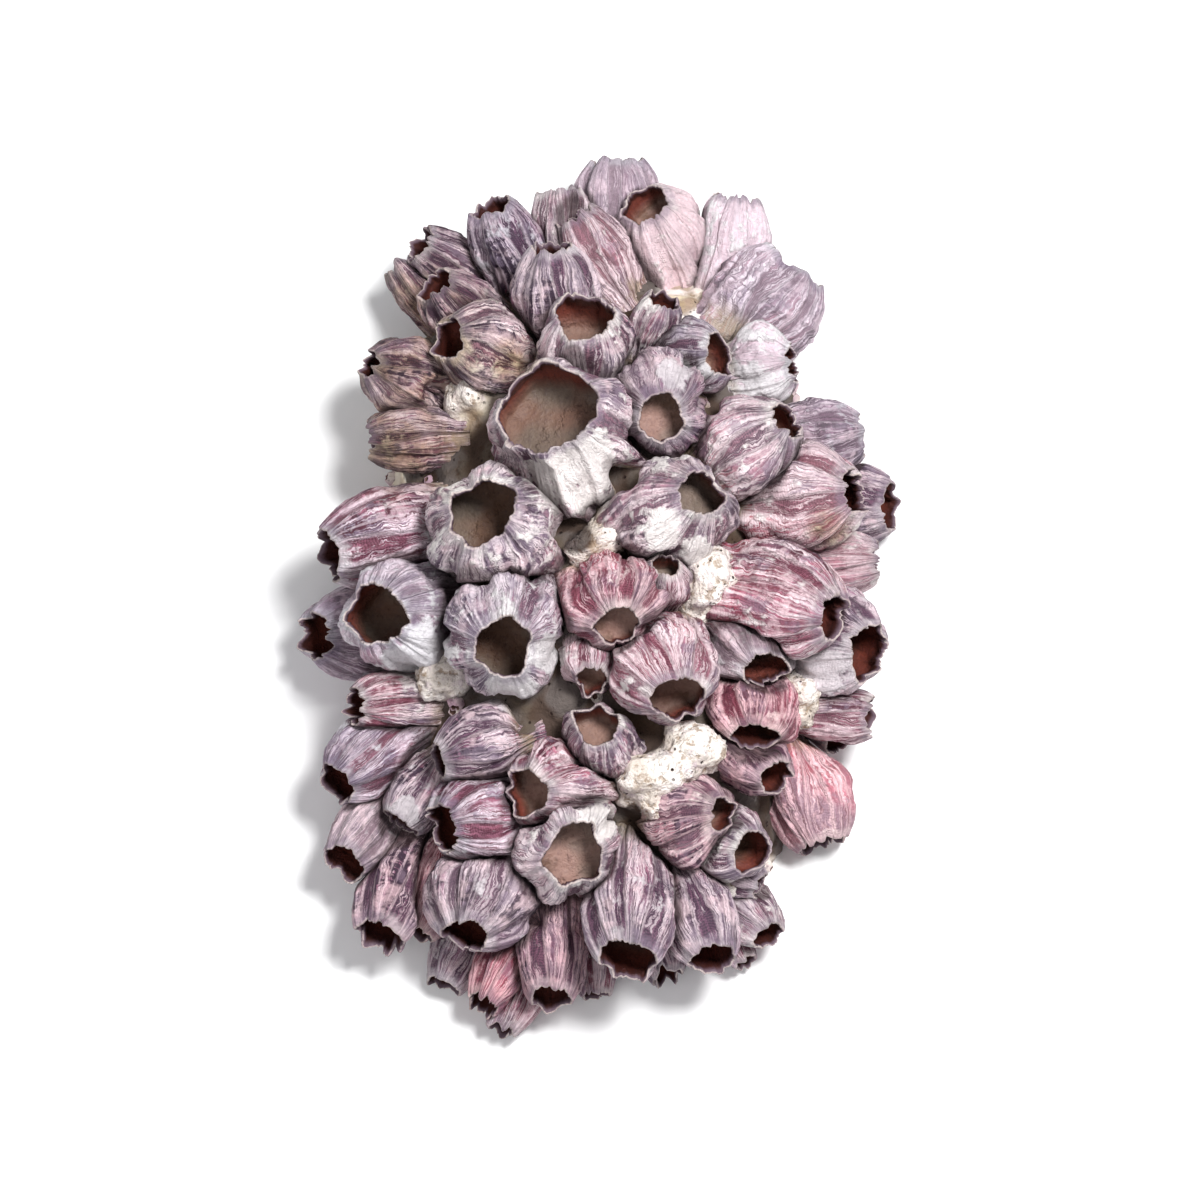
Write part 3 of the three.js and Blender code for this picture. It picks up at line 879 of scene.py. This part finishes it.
# The same for shells that stand out from their tint
NOTES: dict[str, Look] = {
    "great": (0.85, 0.3, 0.3, 0.0), "top_2": (0.85, 0.15, 0.45, 0.1), "top_3": (0.5, 0.7, 0.25, 0.12),
    "top_7": (0.7, 0.5, 0.35, 0.0), "top_9": (1.0, 0.4, 0.3, 0.0), "top_10": (0.0, 0.6, 0.35, 0.85),
    "top_11": (0.5, 0.3, 0.25, 0.35), "top_12": (0.0, 0.1, 0.6, 0.95), "top_13": (0.9, 0.8, 0.1, 0.25),
    "top_14": (0.0, 0.1, 0.9, 0.9), "top_15": (0.9, 0.4, 0.4, 0.0), "left_2": (0.65, 0.6, 0.45, 0.0),
    "left_3": (1.0, 0.35, 0.2, 0.0), "left_4": (0.4, 0.35, 0.7, 0.2), "left_5": (0.6, 0.05, 0.4, 0.2),
    "left_6": (0.85, 0.15, 0.55, 0.0), "left_8": (0.45, 0.65, 0.3, 0.05),
    "left_9": (1.6, 0.6, 0.0, 0.0), "left_10": (0.8, 0.6, 0.55, 0.0), "left_11": (0.6, 0.4, 0.5, 0.25),
    "left_12": (1.0, 0.35, 0.3, 0.0), "middle_1": (0.65, 0.4, 0.6, 0.05),
    "middle_2": (0.55, 1.0, 0.4, 0.0), "middle_5": (1.0, 0.6, 0.2, 0.0),
    "middle_6": (0.75, 0.6, 0.4, 0.0), "right_1": (0.75, 0.8, 0.45, 0.05),
    "right_2": (0.8, 0.0, 0.4, 0.15), "right_3": (0.4, 1.0, 0.6, 0.08),
    "right_5": (0.4, 0.7, 0.4, 0.2), "right_6": (0.9, 0.9, 0.2, 0.0), "right_7": (1.0, 0.2, 0.35, 0.0),
    "right_8": (0.4, 1.0, 0.4, 0.25), "right_9": (0.9, 0.85, 0.2, 0.0),
    "right_12": (0.15, 1.0, 0.25, 0.15), "front_1": (0.85, 0.85, 0.3, 0.0),
    "front_5": (1.0, 0.5, 0.25, 0.0), "front_7": (0.3, 1.1, 0.2, 0.0),
    "front_9": (0.75, 0.35, 0.35, 0.05), "front_11": (2.2, 0.7, 0.0, 0.0),
}

# Round places on the cluster's face, as across, up and radius in millimetres: gaps between shells, dark with
# painted shade on the crust, places worn to white chalk, places browned with dirt, and places where the crust
# between shells stays pale, free of painted shade
GAPS: list[Patch] = [
    (6.5, 34, 4.5), (-7, 17.5, 5.5), (-9, -26, 4), (-20, -32, 4), (38, 17, 2.5), (9, -58, 2.5),
    (31, 53, 2.5), (-46, 58, 3), (-18, -88, 2),
]
CHALK_PATCHES: list[Patch] = [
    (-6, 37, 13), (-50, -16, 9), (-24, -25, 7), (17, 20, 6), (27, 12, 5), (60, -20, 7), (20, 62, 5),
    (-53, -58, 4), (1, -60, 6), (-14, -15, 5),
]
DIRT_PATCHES: list[Patch] = [
    (-52, 72, 24), (-56, 44, 17), (-24, 66, 8), (63, 20, 6),
]
CREAM_PATCHES: list[Patch] = [
    (-40, 54, 10), (24, 83, 9), (41, 79, 8), (-50, -20, 8), (56, -28, 7),
]


@dataclass
class Crust:
    """The old lime crust that every shell grows from, cut off flat underneath."""

    across: float = 58 * MM
    along: float = 97 * MM
    height: float = 52 * MM
    squareness: float = 3.0
    proud: float = 1.2 * MM
    voxel: float = 1.15 * MM
    lump_from: float = 1.06
    lump_ease: float = 0.04
    lump_root: float = 4 * MM
    cut_level: float = 0.7 * MM
    name: str = "lime_crust"

    def share(self, points: np.ndarray) -> np.ndarray:
        """1 on the crust's surface, less inside it and more outside."""
        flat = np.abs(points[..., 0] / self.across) ** self.squareness
        flat = flat + np.abs(points[..., 1] / self.along) ** self.squareness
        rise = np.maximum(points[..., 2], 0) / self.height
        return np.sqrt(flat ** (2 / self.squareness) + rise**2)

    def on_sight(self, across: float, up: float) -> Optional[np.ndarray]:
        """The crust's surface on one line of sight.

        Args:
            across: the line's place across the view, in metres.
            up: the line's place up the view, in metres.

        Returns:
            The point, or None where the line passes the crust by.
        """
        toward = np.arange(120, -120, -0.25)[:, None] * MM
        points = from_face(across, up, 0.0) + toward * from_face(0.0, 0.0, 1.0)
        stops = np.flatnonzero((points[:, 2] < LOWEST_ROOT) | (self.share(points) <= 1))
        if not len(stops) or points[stops[0], 2] < LOWEST_ROOT:
            return None
        return points[stops[0]]

    def normal(self, point: np.ndarray) -> np.ndarray:
        """The way straight out of the crust at a point."""
        out = point / np.array([self.across, self.along, self.height]) ** 2
        return out / np.linalg.norm(out)

    def _dome(self, around: int = 96, up: int = 28) -> tuple[np.ndarray, list]:
        """The dome's points and faces, closed over its flat cut."""
        turn = np.arange(around) * math.tau / around
        rings = []
        for level in range(up):
            rise = math.pi / 2 * level / up
            wide, high = math.cos(rise), np.full(around, math.sin(rise) * self.height)
            across, along = np.cos(turn) * wide * self.across, np.sin(turn) * wide * self.along
            ring = np.stack([across, along, high], axis=1)
            rings.append(ring * (1 + self.proud / self.height) / self.share(ring)[:, None])
        top = np.array([[0, 0, self.height + self.proud]])
        return np.concatenate([*rings, top]), ring_faces(up, around)

    def _lump(self, row: Row, seed: int, around: int = 20, up: int = 10) -> tuple[np.ndarray, list]:
        """A worn lump's points and faces."""
        across, sight, radius, height = (value * MM for value in row)
        root = self.on_sight(across, sight)
        out = self.normal(root)
        spin = Vector((0, 0, 1)).rotation_difference(Vector(out)).to_matrix()
        rings = []
        for level in range(up):
            rise = level / up
            turn = np.arange(around) * math.tau / around
            wide = radius * (1.45 - 0.35 * rise**2) * math.sqrt(1 - rise**6)
            wide = wide * (1 + 0.12 * np.sin(3 * turn + seed) + 0.08 * np.sin(5 * turn + 2 * seed + 4 * rise))
            high = np.full(around, -self.lump_root + (height + self.lump_root) * rise)
            rings.append(np.stack([np.cos(turn) * wide, np.sin(turn) * wide, high], axis=1))
        points = np.concatenate([*rings, np.array([[0, 0, height]])])
        return points @ np.array(spin).T + root, ring_faces(up, around)

    def build(self, finish: Material) -> Object:
        """Makes the crust as one piece: dome and lumps joined, roughened all over and flat underneath.

        Args:
            finish: the crust's material.

        Returns:
            The finished piece.
        """
        points, faces = self._dome()
        for seed, row in enumerate(LUMPS):
            more, more_faces = self._lump(row, seed)
            faces = faces + [tuple(i + len(points) for i in face) for face in more_faces]
            points = np.concatenate([points, more])
        start = bpy.data.meshes.new(self.name)
        start.from_pydata(points.tolist(), [], faces)
        rough = self._joined(start)
        lump = (self.share(points_of(rough)) - self.lump_from) / self.lump_ease
        write_mark(rough, "lump", np.clip(lump, 0, 1))
        relief = CrustRelief()
        piece = grown_mesh(self.name, rough, relief.tree, relief.keys, {"Finish": finish})
        spots = points_of(piece.data)
        spots[spots[:, 2] < self.cut_level, 2] = 0.0
        move_points(piece.data, spots)
        return piece

    def _joined(self, start: Mesh) -> Mesh:
        """Joins overlapping closed forms into one even skin."""
        thing = add_object("crust_blank", start)
        joined = thing.modifiers.new("join", "REMESH")
        joined.mode = "VOXEL"
        joined.voxel_size = self.voxel
        made = evaluated_mesh(thing)
        bpy.data.objects.remove(thing)
        return made


def ring_faces(rings: int, around: int) -> list:
    """Faces of a stack of rings that is closed by one face below and a single top point."""
    faces: list = [tuple(range(around - 1, -1, -1))]
    for ring in range(rings - 1):
        for i in range(around):
            j = (i + 1) % around
            low, high = ring * around, (ring + 1) * around
            faces.append((low + i, low + j, high + j, high + i))
    last = (rings - 1) * around
    faces += [(last + i, last + (i + 1) % around, rings * around) for i in range(around)]
    return faces


class CrustRelief:
    """The crust's lumps, dips and pores as a Geometry Nodes tree."""

    SIZES: dict[str, Any] = {
        "Swell": 2.2 * MM,
        "Cobbles": 2.2 * MM,
        "Knobs": 1.5 * MM,
        "Pores": 0.6 * MM,
        "Crumbs": 2.6 * MM,
        "Finish": "Material",
    }

    def __init__(self) -> None:
        """Builds the tree and keeps each input's identifier."""
        self.tree, self.keys = blank_tree("crust relief", self.SIZES)
        bench = Bench(self.tree)
        given = bench.node("NodeGroupInput")
        place = bench.node("GeometryNodeInputPosition")
        normal = bench.node("GeometryNodeInputNormal")
        size = {name: given.out(name) for name in self.SIZES}
        swell = (bench.noise(place, 70.0, 2.0) - 0.5) * 2 * size["Swell"]
        knobs = (bench.noise(place, 240.0, 4.0, 0.65) - 0.5) * 2 * size["Knobs"]
        cobbles = (0.42 - bench.cobbles(place)) * 2 * size["Cobbles"]
        cells = bench.node("ShaderNodeTexVoronoi", {"feature": "F1"}, {"Vector": place, "Scale": 300.0})
        pores = cells.ramp(0.4, 0.1) * size["Pores"]
        crumbs = (bench.noise(place, 300.0, 4.0, 0.7) - 0.5) * 2 * size["Crumbs"] * bench.kept("lump")
        above = bench.split(place).out(2).ramp(0.5 * MM, 3 * MM)
        amount = (swell + cobbles + knobs + crumbs - pores) * above
        offset = bench.node("ShaderNodeVectorMath", {"operation": "SCALE"}, {0: normal, "Scale": amount})
        whole = bench.node("GeometryNodeMergeByDistance", {}, {"Geometry": given, "Distance": 0.02 * MM})
        moved = bench.node("GeometryNodeSetPosition", {}, {"Geometry": whole, "Offset": offset})
        smooth = bench.node("GeometryNodeSetShadeSmooth", {}, {"Geometry": moved, "Shade Smooth": True})
        bench.dress(smooth, size["Finish"])


@dataclass(frozen=True)
class SpatFinish:
    """The finish of newly settled barnacles: chalk white to lilac, dark inside."""

    name: str = "settled_spat"
    chalk: Colour = paint(226, 216, 208)
    lilac: Colour = paint(176, 146, 158)
    slate: Colour = paint(104, 84, 96)
    inside: Colour = paint(104, 78, 70)

    def material(self) -> Material:
        """Builds the material.

        Returns:
            A material on the object's coordinates and the spat's own inner mark.
        """
        made, bench = blank_material(self.name)
        place = bench.place()
        inner = bench.mark("inner")
        broad = bench.noise(place, 120.0, 2.0)
        grain = bench.noise(place, 900.0, 3.0, 0.65)
        shade = bench.layers(
            self.chalk,
            (broad.ramp(0.42, 0.6), self.lilac),
            (grain.ramp(0.5, 0.7) * 0.6, self.slate),
            (inner.ramp(0.4, 0.9), self.inside),
        )
        bench.coat(shade, 0.7 + grain * 0.2, grain, 0.5, 0.3 * MM, 0.3)
        return made


@dataclass
class Spat:
    """Newly settled barnacles on the bare crust, scattered over it as one piece."""

    spacing: float = 3.2 * MM
    least: float = 1.1 * MM
    most: float = 3.1 * MM
    density: float = 90000.0
    seed: int = 7
    name: str = "settled_spat"

    def _one(self, plates: int = 9) -> Object:
        """A single settled barnacle, 1 across at its foot, closed inside and out."""
        profile = [(1.0, -0.3, 0), (0.97, 0.05, 0), (0.66, 0.62, 0)]
        profile += [(0.5, 0.75, 0), (0.4, 0.68, 1), (0.3, 0.3, 1)]
        points, marks = [], []
        for radius, level, inner in profile:
            for i in range(plates):
                turn, odd = math.tau * i / plates, (-1) ** i
                wide = radius * (1 + 0.09 * odd) if not inner else radius
                high = level + 0.06 * odd * (radius < 0.6)
                points.append((wide * math.cos(turn), wide * math.sin(turn), high))
                marks.append(float(inner))
        points.append((0.0, 0.0, 0.26))
        marks.append(1.0)
        mesh = bpy.data.meshes.new("one_spat")
        mesh.from_pydata(points, [], ring_faces(len(profile), plates))
        write_mark(mesh, "inner", marks)
        return add_object("one_spat", mesh)

    def _sizes(self) -> dict[str, Any]:
        """The scatter's own inputs."""
        return {"Spacing": self.spacing, "Least": self.least, "Most": self.most, "Seed": self.seed}

    def _tree(self) -> tuple[NodeTree, dict[str, str]]:
        """The scatter as a tree, with its inputs' identifiers."""
        tree, keys = blank_tree("spat scatter", {**self._sizes(), "Spat": "Object", "Finish": "Material"})
        bench = Bench(tree)
        given = bench.node("NodeGroupInput")
        patchy = bench.noise(bench.node("GeometryNodeInputPosition"), 75.0).ramp(0.42, 0.56)
        sockets = {
            "Mesh": given,
            "Distance Min": given.out("Spacing"),
            "Density Max": self.density,
            "Density Factor": bench.kept("bare") * patchy,
            "Seed": given.out("Seed"),
        }
        spread = bench.node("GeometryNodeDistributePointsOnFaces", {"distribute_method": "POISSON"}, sockets)
        one = bench.node("GeometryNodeObjectInfo", {}, {"Object": given.out("Spat"), "As Instance": True})
        lot = bench.node("FunctionNodeRandomValue", {"data_type": "FLOAT"}, {8: given.out("Seed")}).out(1)
        scale = given.out("Least") + (given.out("Most") - given.out("Least")) * lot**1.8
        sockets = {
            "Points": spread,
            "Instance": one.out("Geometry"),
            "Rotation": spread.out("Rotation"),
            "Scale": bench.vector(scale, scale, scale * (0.75 + 0.4 * lot)),
        }
        placed = bench.node("GeometryNodeInstanceOnPoints", {}, sockets)
        bench.dress(placed, given.out("Finish"))
        return tree, keys

    def build(self, ground: Object, finish: Material) -> Object:
        """Scatters the spat over the crust where it is bare.

        Args:
            ground: the crust, with its bare places marked.
            finish: the spat's material.

        Returns:
            The finished piece.
        """
        one = self._one()
        values = {**self._sizes(), "Spat": one, "Finish": finish}
        piece = grown_mesh(self.name, ground.data.copy(), *self._tree(), values)
        bpy.data.objects.remove(one)
        spots = points_of(piece.data)
        spots[:, 2] = np.maximum(spots[:, 2], ABOVE_CUT)
        move_points(piece.data, spots)
        return piece


@dataclass
class Barnacle:
    """One barnacle's shell, crowded by its neighbours."""

    name: str
    row: Row
    seed: int
    crust: Crust
    young: bool = False
    wall: float = 0.85 * MM
    belly: float = 0.5
    foot_depth: float = -0.25
    root: np.ndarray = field(init=False)
    axis: np.ndarray = field(init=False)
    length: float = field(init=False)
    foot_share: float = field(init=False)
    neighbours: list["Barnacle"] = field(init=False, default_factory=list)

    def __post_init__(self) -> None:
        """Plants the shell. A root that would miss the crust is drawn back along the axis to reach it."""
        across, up, heading, lean, mouth, girth, length, self.tint = self.row
        across, up, length = across * MM, up * MM, length * MM
        self.mouth, self.girth = MOUTH_SHARE * mouth * MM, girth * SPREAD * MM
        self.foot_share = float(np.interp(lean, *FOOT_BY_LEAN))
        h, tilt = math.radians(heading), math.radians(lean)
        flat = np.array([math.sin(tilt) * math.cos(h), math.sin(tilt) * math.sin(h)])
        root = None
        reach = length
        while root is None and reach < 4 * length:
            root = self.crust.on_sight(across - reach * flat[0], up - reach * flat[1])
            reach += 0 if root is not None else 0.5 * MM
        tip = root + from_face(flat[0], flat[1], math.cos(tilt)) * reach
        tip[2] = max(tip[2], LOWEST_MOUTH)
        self.root = root
        self.length = float(np.linalg.norm(tip - root))
        self.axis = (tip - root) / self.length

    @property
    def key(self) -> str:
        """The shell's name in the tables."""
        return self.name.replace("barnacle_", "")

    def free_radius(self, share: np.ndarray) -> np.ndarray:
        """Outer radius of the uncrowded shell at a height given as a share of its length."""
        rim = self.mouth + self.wall
        flare = 1 + (self.foot_share - 1) * np.maximum(1 - np.maximum(share, 0) / self.belly, 0) ** 2
        narrow = np.maximum((share - self.belly) / (1 - self.belly), 0) ** NARROWING
        return (rim + (self.girth - rim) * (1 - narrow)) * flare

    def measure(self, points: np.ndarray) -> np.ndarray:
        """Distance of points from the shell's axis, as a share of its free radius there."""
        along = np.clip((points - self.root) @ self.axis, 0, self.length)
        foot = self.root + along[..., None] * self.axis
        return np.linalg.norm(points - foot, axis=-1) / self.free_radius(along / self.length)

    def spin(self) -> np.ndarray:
        """The turn from the shell's own frame to where it stands."""
        return np.array(Vector((0, 0, 1)).rotation_difference(Vector(self.axis)).to_matrix())

    def room(self, around: int = 72, up: int = 30) -> tuple[np.ndarray, np.ndarray]:
        """How far the shell can spread before it meets its neighbours.

        Args:
            around: number of directions.
            up: number of heights, from below the foot to the rim.

        Returns:
            For each height and direction, the share that the radius is pressed to,
            and the radius that it never passes.
        """
        angle = np.arange(around) * math.tau / around
        share = np.linspace(self.foot_depth, 1, up)
        wanted = self.free_radius(share)[:, None] * (1 + OVAL * np.cos(2 * angle + self.seed))[None, :]
        spin = self.spin()
        crevice = 0.1 * np.clip((share - 0.25) / 0.5, 0, 1)[:, None]

        def clear(factor: np.ndarray) -> np.ndarray:
            """Where the shell, with its radius at these shares, meets nothing."""
            radius = wanted * factor
            level = np.broadcast_to(share[:, None] * self.length, radius.shape)
            local = np.stack([radius * np.cos(angle), radius * np.sin(angle), level], axis=-1)
            points = local @ spin.T + self.root
            own = self.measure(points) * (1 + crevice)
            free = points[..., 2] > ABOVE_CUT
            face = to_face(points) / MM
            for across, rise, width in GAPS:
                free &= np.hypot(face[..., 0] - across, face[..., 1] - rise) > width
            for other in self.neighbours:
                free &= own <= other.measure(points) + OVERLAP
            return free

        low, high = np.full(wanted.shape, TIGHTEST), np.full(wanted.shape, LOOSEST)
        open_all = clear(high)
        for _ in range(HALVINGS):
            middle = (low + high) / 2
            fits = clear(middle)
            low = np.where(fits, middle, low)
            high = np.where(fits, high, middle)
        limit = np.where(open_all, LOOSEST, low)
        eased = -EASE * np.log(np.exp(-1 / EASE) + np.exp(-limit / EASE))
        eased = (np.roll(eased, 1, 1) + 2 * eased + np.roll(eased, -1, 1)) / 4
        padded = np.pad(eased, ((1, 1), (0, 0)), mode="edge")
        pressed = (padded[:-2] + 2 * padded[1:-1] + padded[2:]) / 4
        out = self.crust.normal(self.root) @ spin
        lying = math.hypot(out[0], out[1])
        upper = np.maximum((out[0] * np.cos(angle) + out[1] * np.sin(angle)) / max(lying, 1e-6), 0)
        rooted = np.clip(1 - (share + 0.1) / 0.6, 0, 1)[:, None] ** 1.5
        return pressed * (1 - 0.75 * lying * upper * rooted), limit * wanted

    def _sizes(self) -> dict[str, Any]:
        """The mould's inputs that are this shell's own."""
        dark, rosy, chalk, fade = NOTES.get(self.key, LOOKS[self.tint])
        plug = PLUGS.get(self.key, 0.0)
        vary = [chance(self.seed + step) - 0.5 for step in (0.1, 0.2, 0.3)]
        return {
            "Mouth": self.mouth,
            "Girth": self.girth,
            "Length": self.length,
            "Wall": self.wall,
            "Foot Share": self.foot_share,
            "Foot Depth": self.foot_depth,
            "Phase": chance(self.seed),
            "Seed": float(self.seed),
            "Ribs": 3.0 + math.floor(3 * chance(self.seed + 0.7)),
            "Tooth": (0.3 + 0.8 * chance(self.seed + 0.4)) * MM,
            "Chip": (0.6 + 1.6 * chance(self.seed + 0.5)) * MM,
            "Darkness": dark + 0.2 * vary[0],
            "Rosiness": rosy + 0.2 * vary[1],
            "Chalk": chalk + 0.3 * vary[2],
            "Fade": fade,
            "Warmth": WARMTH.get(self.key, 0.0),
            "Plug": plug,
            "Floor": 0.35 + 0.3 * plug,
            "Columns": 12 if self.young else 24 if self.girth > LARGE_GIRTH else 18,
        }

    def build(self, mould: Mould, finish: Material) -> Object:
        """Grows the shell, presses it into its room and stands it on the crust.

        Args:
            mould: the rule that shells grow by.
            finish: the shell's material.

        Returns:
            The finished piece.
        """
        piece = mould.cast(self.name, {**self._sizes(), "Finish": finish})
        local = points_of(piece.data)
        self._press(local, read_mark(piece.data, "inner"))
        points = local @ self.spin().T + self.root
        points[:, 2] = np.maximum(points[:, 2], ABOVE_CUT)
        move_points(piece.data, points)
        self.weather_and_shade(piece.data, points)
        return piece

    def _press(self, local: np.ndarray, inner: np.ndarray) -> None:
        """Presses the shell's points into its room.

        Args:
            local: the points in the shell's own frame, which are moved.
            inner: 0 on the outer wall and 1 on the inner one, point by point.
        """
        pressed, farthest = self.room()
        heights, around = pressed.shape
        level = local[:, 2] / self.length
        turn = np.arctan2(local[:, 1], local[:, 0]) / math.tau * around
        rise = (level - self.foot_depth) / (1 - self.foot_depth) * (heights - 1)
        rise = np.clip(rise, 0, heights - 1.0001)
        i, j = np.floor(rise).astype(int), np.floor(turn).astype(int)
        a, b = rise - i, turn - j
        near, far = j % around, (j + 1) % around

        def between(grid: np.ndarray) -> np.ndarray:
            """A grid's value at each point, blended from its four nearest places."""
            lower = (1 - b) * grid[i, near] + b * grid[i, far]
            return (1 - a) * lower + a * ((1 - b) * grid[i + 1, near] + b * grid[i + 1, far])

        radius = np.linalg.norm(local[:, :2], axis=1)
        most = np.maximum(between(farthest) + 0.3 * MM - inner * self.wall, 0.25 * radius)
        fits = np.minimum(radius * between(pressed), most)
        below = np.maximum(-np.sin(turn / around * math.tau), 0)
        fits *= 1 - PINCHED.get(self.key, 0.0) * below * np.clip((level - 0.3) / 0.5, 0, 1)

        # The inner wall stays half a wall inside the nearest part of the outer one
        slot_i, slot_j = np.round(rise).astype(int), np.round(turn).astype(int) % around
        skin = np.full(pressed.shape, 1.0)
        outer = inner == 0
        np.minimum.at(skin, (slot_i[outer], slot_j[outer]), fits[outer])
        skin = np.minimum(skin, np.minimum(np.roll(skin, 1, 1), np.roll(skin, -1, 1)))
        skin[1:-1] = np.minimum(skin[1:-1], np.minimum(skin[:-2], skin[2:]))
        hidden = inner == 1
        fits[hidden] = np.clip(skin[slot_i, slot_j] - 0.5 * self.wall, 0.2 * fits, fits)[hidden]
        local[:, :2] *= (fits / np.maximum(radius, 1e-9))[:, None]

    def weather_and_shade(self, mesh: Mesh, points: np.ndarray) -> None:
        """Marks where the shell stands close to others, for painted shade and dirt, where it is worn to chalk
        and where it is browned.

        Args:
            mesh: the shell's mesh.
            points: its points, in place.
        """
        nearest = np.min([other.measure(points) for other in self.neighbours], axis=0)
        crowding = 1 - np.clip((nearest - self.measure(points)) / 0.5, 0, 1)
        chalk = read_mark(mesh, "chalk") + 1.3 * near_patches(points, CHALK_PATCHES)
        # Crowding feeds painted shade and dirt in the shell's finish
        write_mark(mesh, "crowding", crowding * (0.6 if self.young else 1.0))
        write_mark(mesh, "chalk", chalk)
        write_mark(mesh, "dirt", near_patches(points, DIRT_PATCHES))


@dataclass
class Colony:
    """All the shells and the crust that they grow on."""

    crust: Crust = field(default_factory=Crust)
    shells: list[Barnacle] = field(init=False, default_factory=list)

    def __post_init__(self) -> None:
        """Plants every shell and finds its neighbours."""
        seed = 0
        for side, rows in SIDES.items():
            for number, row in enumerate(rows, 1):
                seed += 1
                name = f"barnacle_{side}_{number}" if len(rows) > 1 else f"barnacle_{side}"
                self.shells.append(Barnacle(name, row, seed, self.crust))
        for number, row in enumerate(YOUNG, 1):
            seed += 1
            self.shells.append(Barnacle(f"young_barnacle_{number}", row, seed, self.crust, young=True))
        for shell in self.shells:
            for other in self.shells:
                reach = shell.length + other.length + shell.girth + other.girth
                if other is not shell and np.linalg.norm(other.root - shell.root) < reach:
                    shell.neighbours.append(other)

    def mark_bare(self, mesh: Mesh) -> None:
        """Marks the crust's points that are bare, for spat, and those that lie open to the air.

        Args:
            mesh: the crust's mesh.
        """
        spots = points_of(mesh)
        nearest = np.full(len(spots), 9.0)
        for shell in self.shells:
            nearest = np.minimum(nearest, shell.measure(spots))
        lump, shaded = read_mark(mesh, "lump"), near_patches(spots, GAPS)

        # Spat settles clear of shells, lumps and gaps. What lies open to the air stays pale; the crust's
        # finish paints shade on the rest
        bare = np.clip((nearest - 1.0) / 0.12, 0, 1) * (spots[:, 2] > 2.5 * MM)
        bare = bare * (1 - lump) * (1 - shaded) * np.clip((nearest - 1.2) / 0.3, 0, 1)
        write_mark(mesh, "bare", bare)
        open_air = np.clip((nearest - 1.35) / 0.6, 0, 1) + lump + 0.8 * near_patches(spots, CREAM_PATCHES)
        write_mark(mesh, "open_air", np.clip(open_air - shaded, 0, 1))

    def build(self) -> None:
        """Builds and dresses every piece and hangs it on the frame."""
        crust = self.crust.build(CrustFinish().material())
        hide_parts("crust")
        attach(crust, "root")
        LOG.info("%s: %d faces", crust.name, len(crust.data.polygons))
        self.mark_bare(crust.data)
        spat = Spat().build(crust, SpatFinish().material())
        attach(spat, "root")
        LOG.info("%s: %d faces", spat.name, len(spat.data.polygons))
        mould = Mould()
        finishes = {tint: finish.material() for tint, finish in FINISHES.items()}
        for shell in self.shells:
            piece = shell.build(mould, finishes[shell.tint])
            if not shell.young:
                piece.name = f"shell_of_{shell.name}"
                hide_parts(shell.name)
            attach(piece, "root")
            LOG.info("%s: %d faces", piece.name, len(piece.data.polygons))


@dataclass
class Studio:
    """A pale floor, soft light and a camera at the photo's viewing angle."""

    lens: float = 500.0
    sensor: float = 36.0
    view_width: float = 0.330
    focus_toward: float = 0.045
    floor_reach: float = 6.0
    lit_height: float = 0.03
    sky: float = 0.36

    def floor(self) -> None:
        """Lays the floor under the flat cut."""
        mesh = bpy.data.meshes.new("studio_floor")
        far = self.floor_reach
        mesh.from_pydata([(-far, -far, 0), (far, -far, 0), (far, far, 0), (-far, far, 0)], [], [(0, 1, 2, 3)])
        thing = add_object("studio_floor", mesh)
        made = bpy.data.materials.new("pale floor")
        made.use_nodes = True
        skin = made.node_tree.nodes["Principled BSDF"]
        skin.inputs["Base Color"].default_value = paint(246, 246, 246)
        skin.inputs["Roughness"].default_value = 0.95
        mesh.materials.append(made)

    def lamp(self, name: str, place: tuple, size: float, power: float) -> None:
        """Hangs one soft square lamp that faces the cluster.

        Args:
            name: the lamp's name.
            place: where it hangs, in metres.
            size: its side, in metres.
            power: its power in watts.
        """
        data = bpy.data.lights.new(name, "AREA")
        data.shape = "SQUARE"
        data.size = size
        data.energy = power
        thing = add_object(name, data)
        thing.location = place
        thing.rotation_mode = "QUATERNION"
        thing.rotation_quaternion = (Vector((0, 0, self.lit_height)) - Vector(place)).to_track_quat("-Z", "Y")

    def light(self) -> None:
        """Sets the sky's fill and the lamps."""
        world = bpy.data.worlds.new("studio")
        world.use_nodes = True
        sky = world.node_tree.nodes["Background"]
        sky.inputs["Color"].default_value = (0.95, 0.97, 1.0, 1.0)
        sky.inputs["Strength"].default_value = self.sky
        bpy.context.scene.world = world
        self.lamp("key", (0.42, 0.02, 1.4), 0.36, 28.5)
        self.lamp("fill", (-0.5, -0.9, 1.2), 1.0, 6)

    def camera(self) -> None:
        """Stands the camera where the photo was taken from."""
        data = bpy.data.cameras.new("camera")
        data.lens = self.lens
        data.sensor_width = self.sensor
        thing = add_object("camera", data)
        far = self.view_width * self.lens / self.sensor + self.focus_toward
        thing.location = Vector(from_face(0.0, 0.0, far))
        thing.rotation_mode = "QUATERNION"
        thing.rotation_quaternion = Vector(-from_face(0.0, 0.0, 1.0)).to_track_quat("-Z", "Y")
        bpy.context.scene.camera = thing

    def build(self) -> None:
        """Builds the studio."""
        bpy.context.scene.view_settings.view_transform = "Standard"
        self.camera()
        self.floor()
        self.light()


def main() -> None:
    """Builds the cluster, noting each piece's faces, and its studio."""
    logging.basicConfig(level=logging.INFO, format="%(message)s")
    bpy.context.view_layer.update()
    Studio().build()
    Colony().build()


if __name__ == "__main__":
    main()
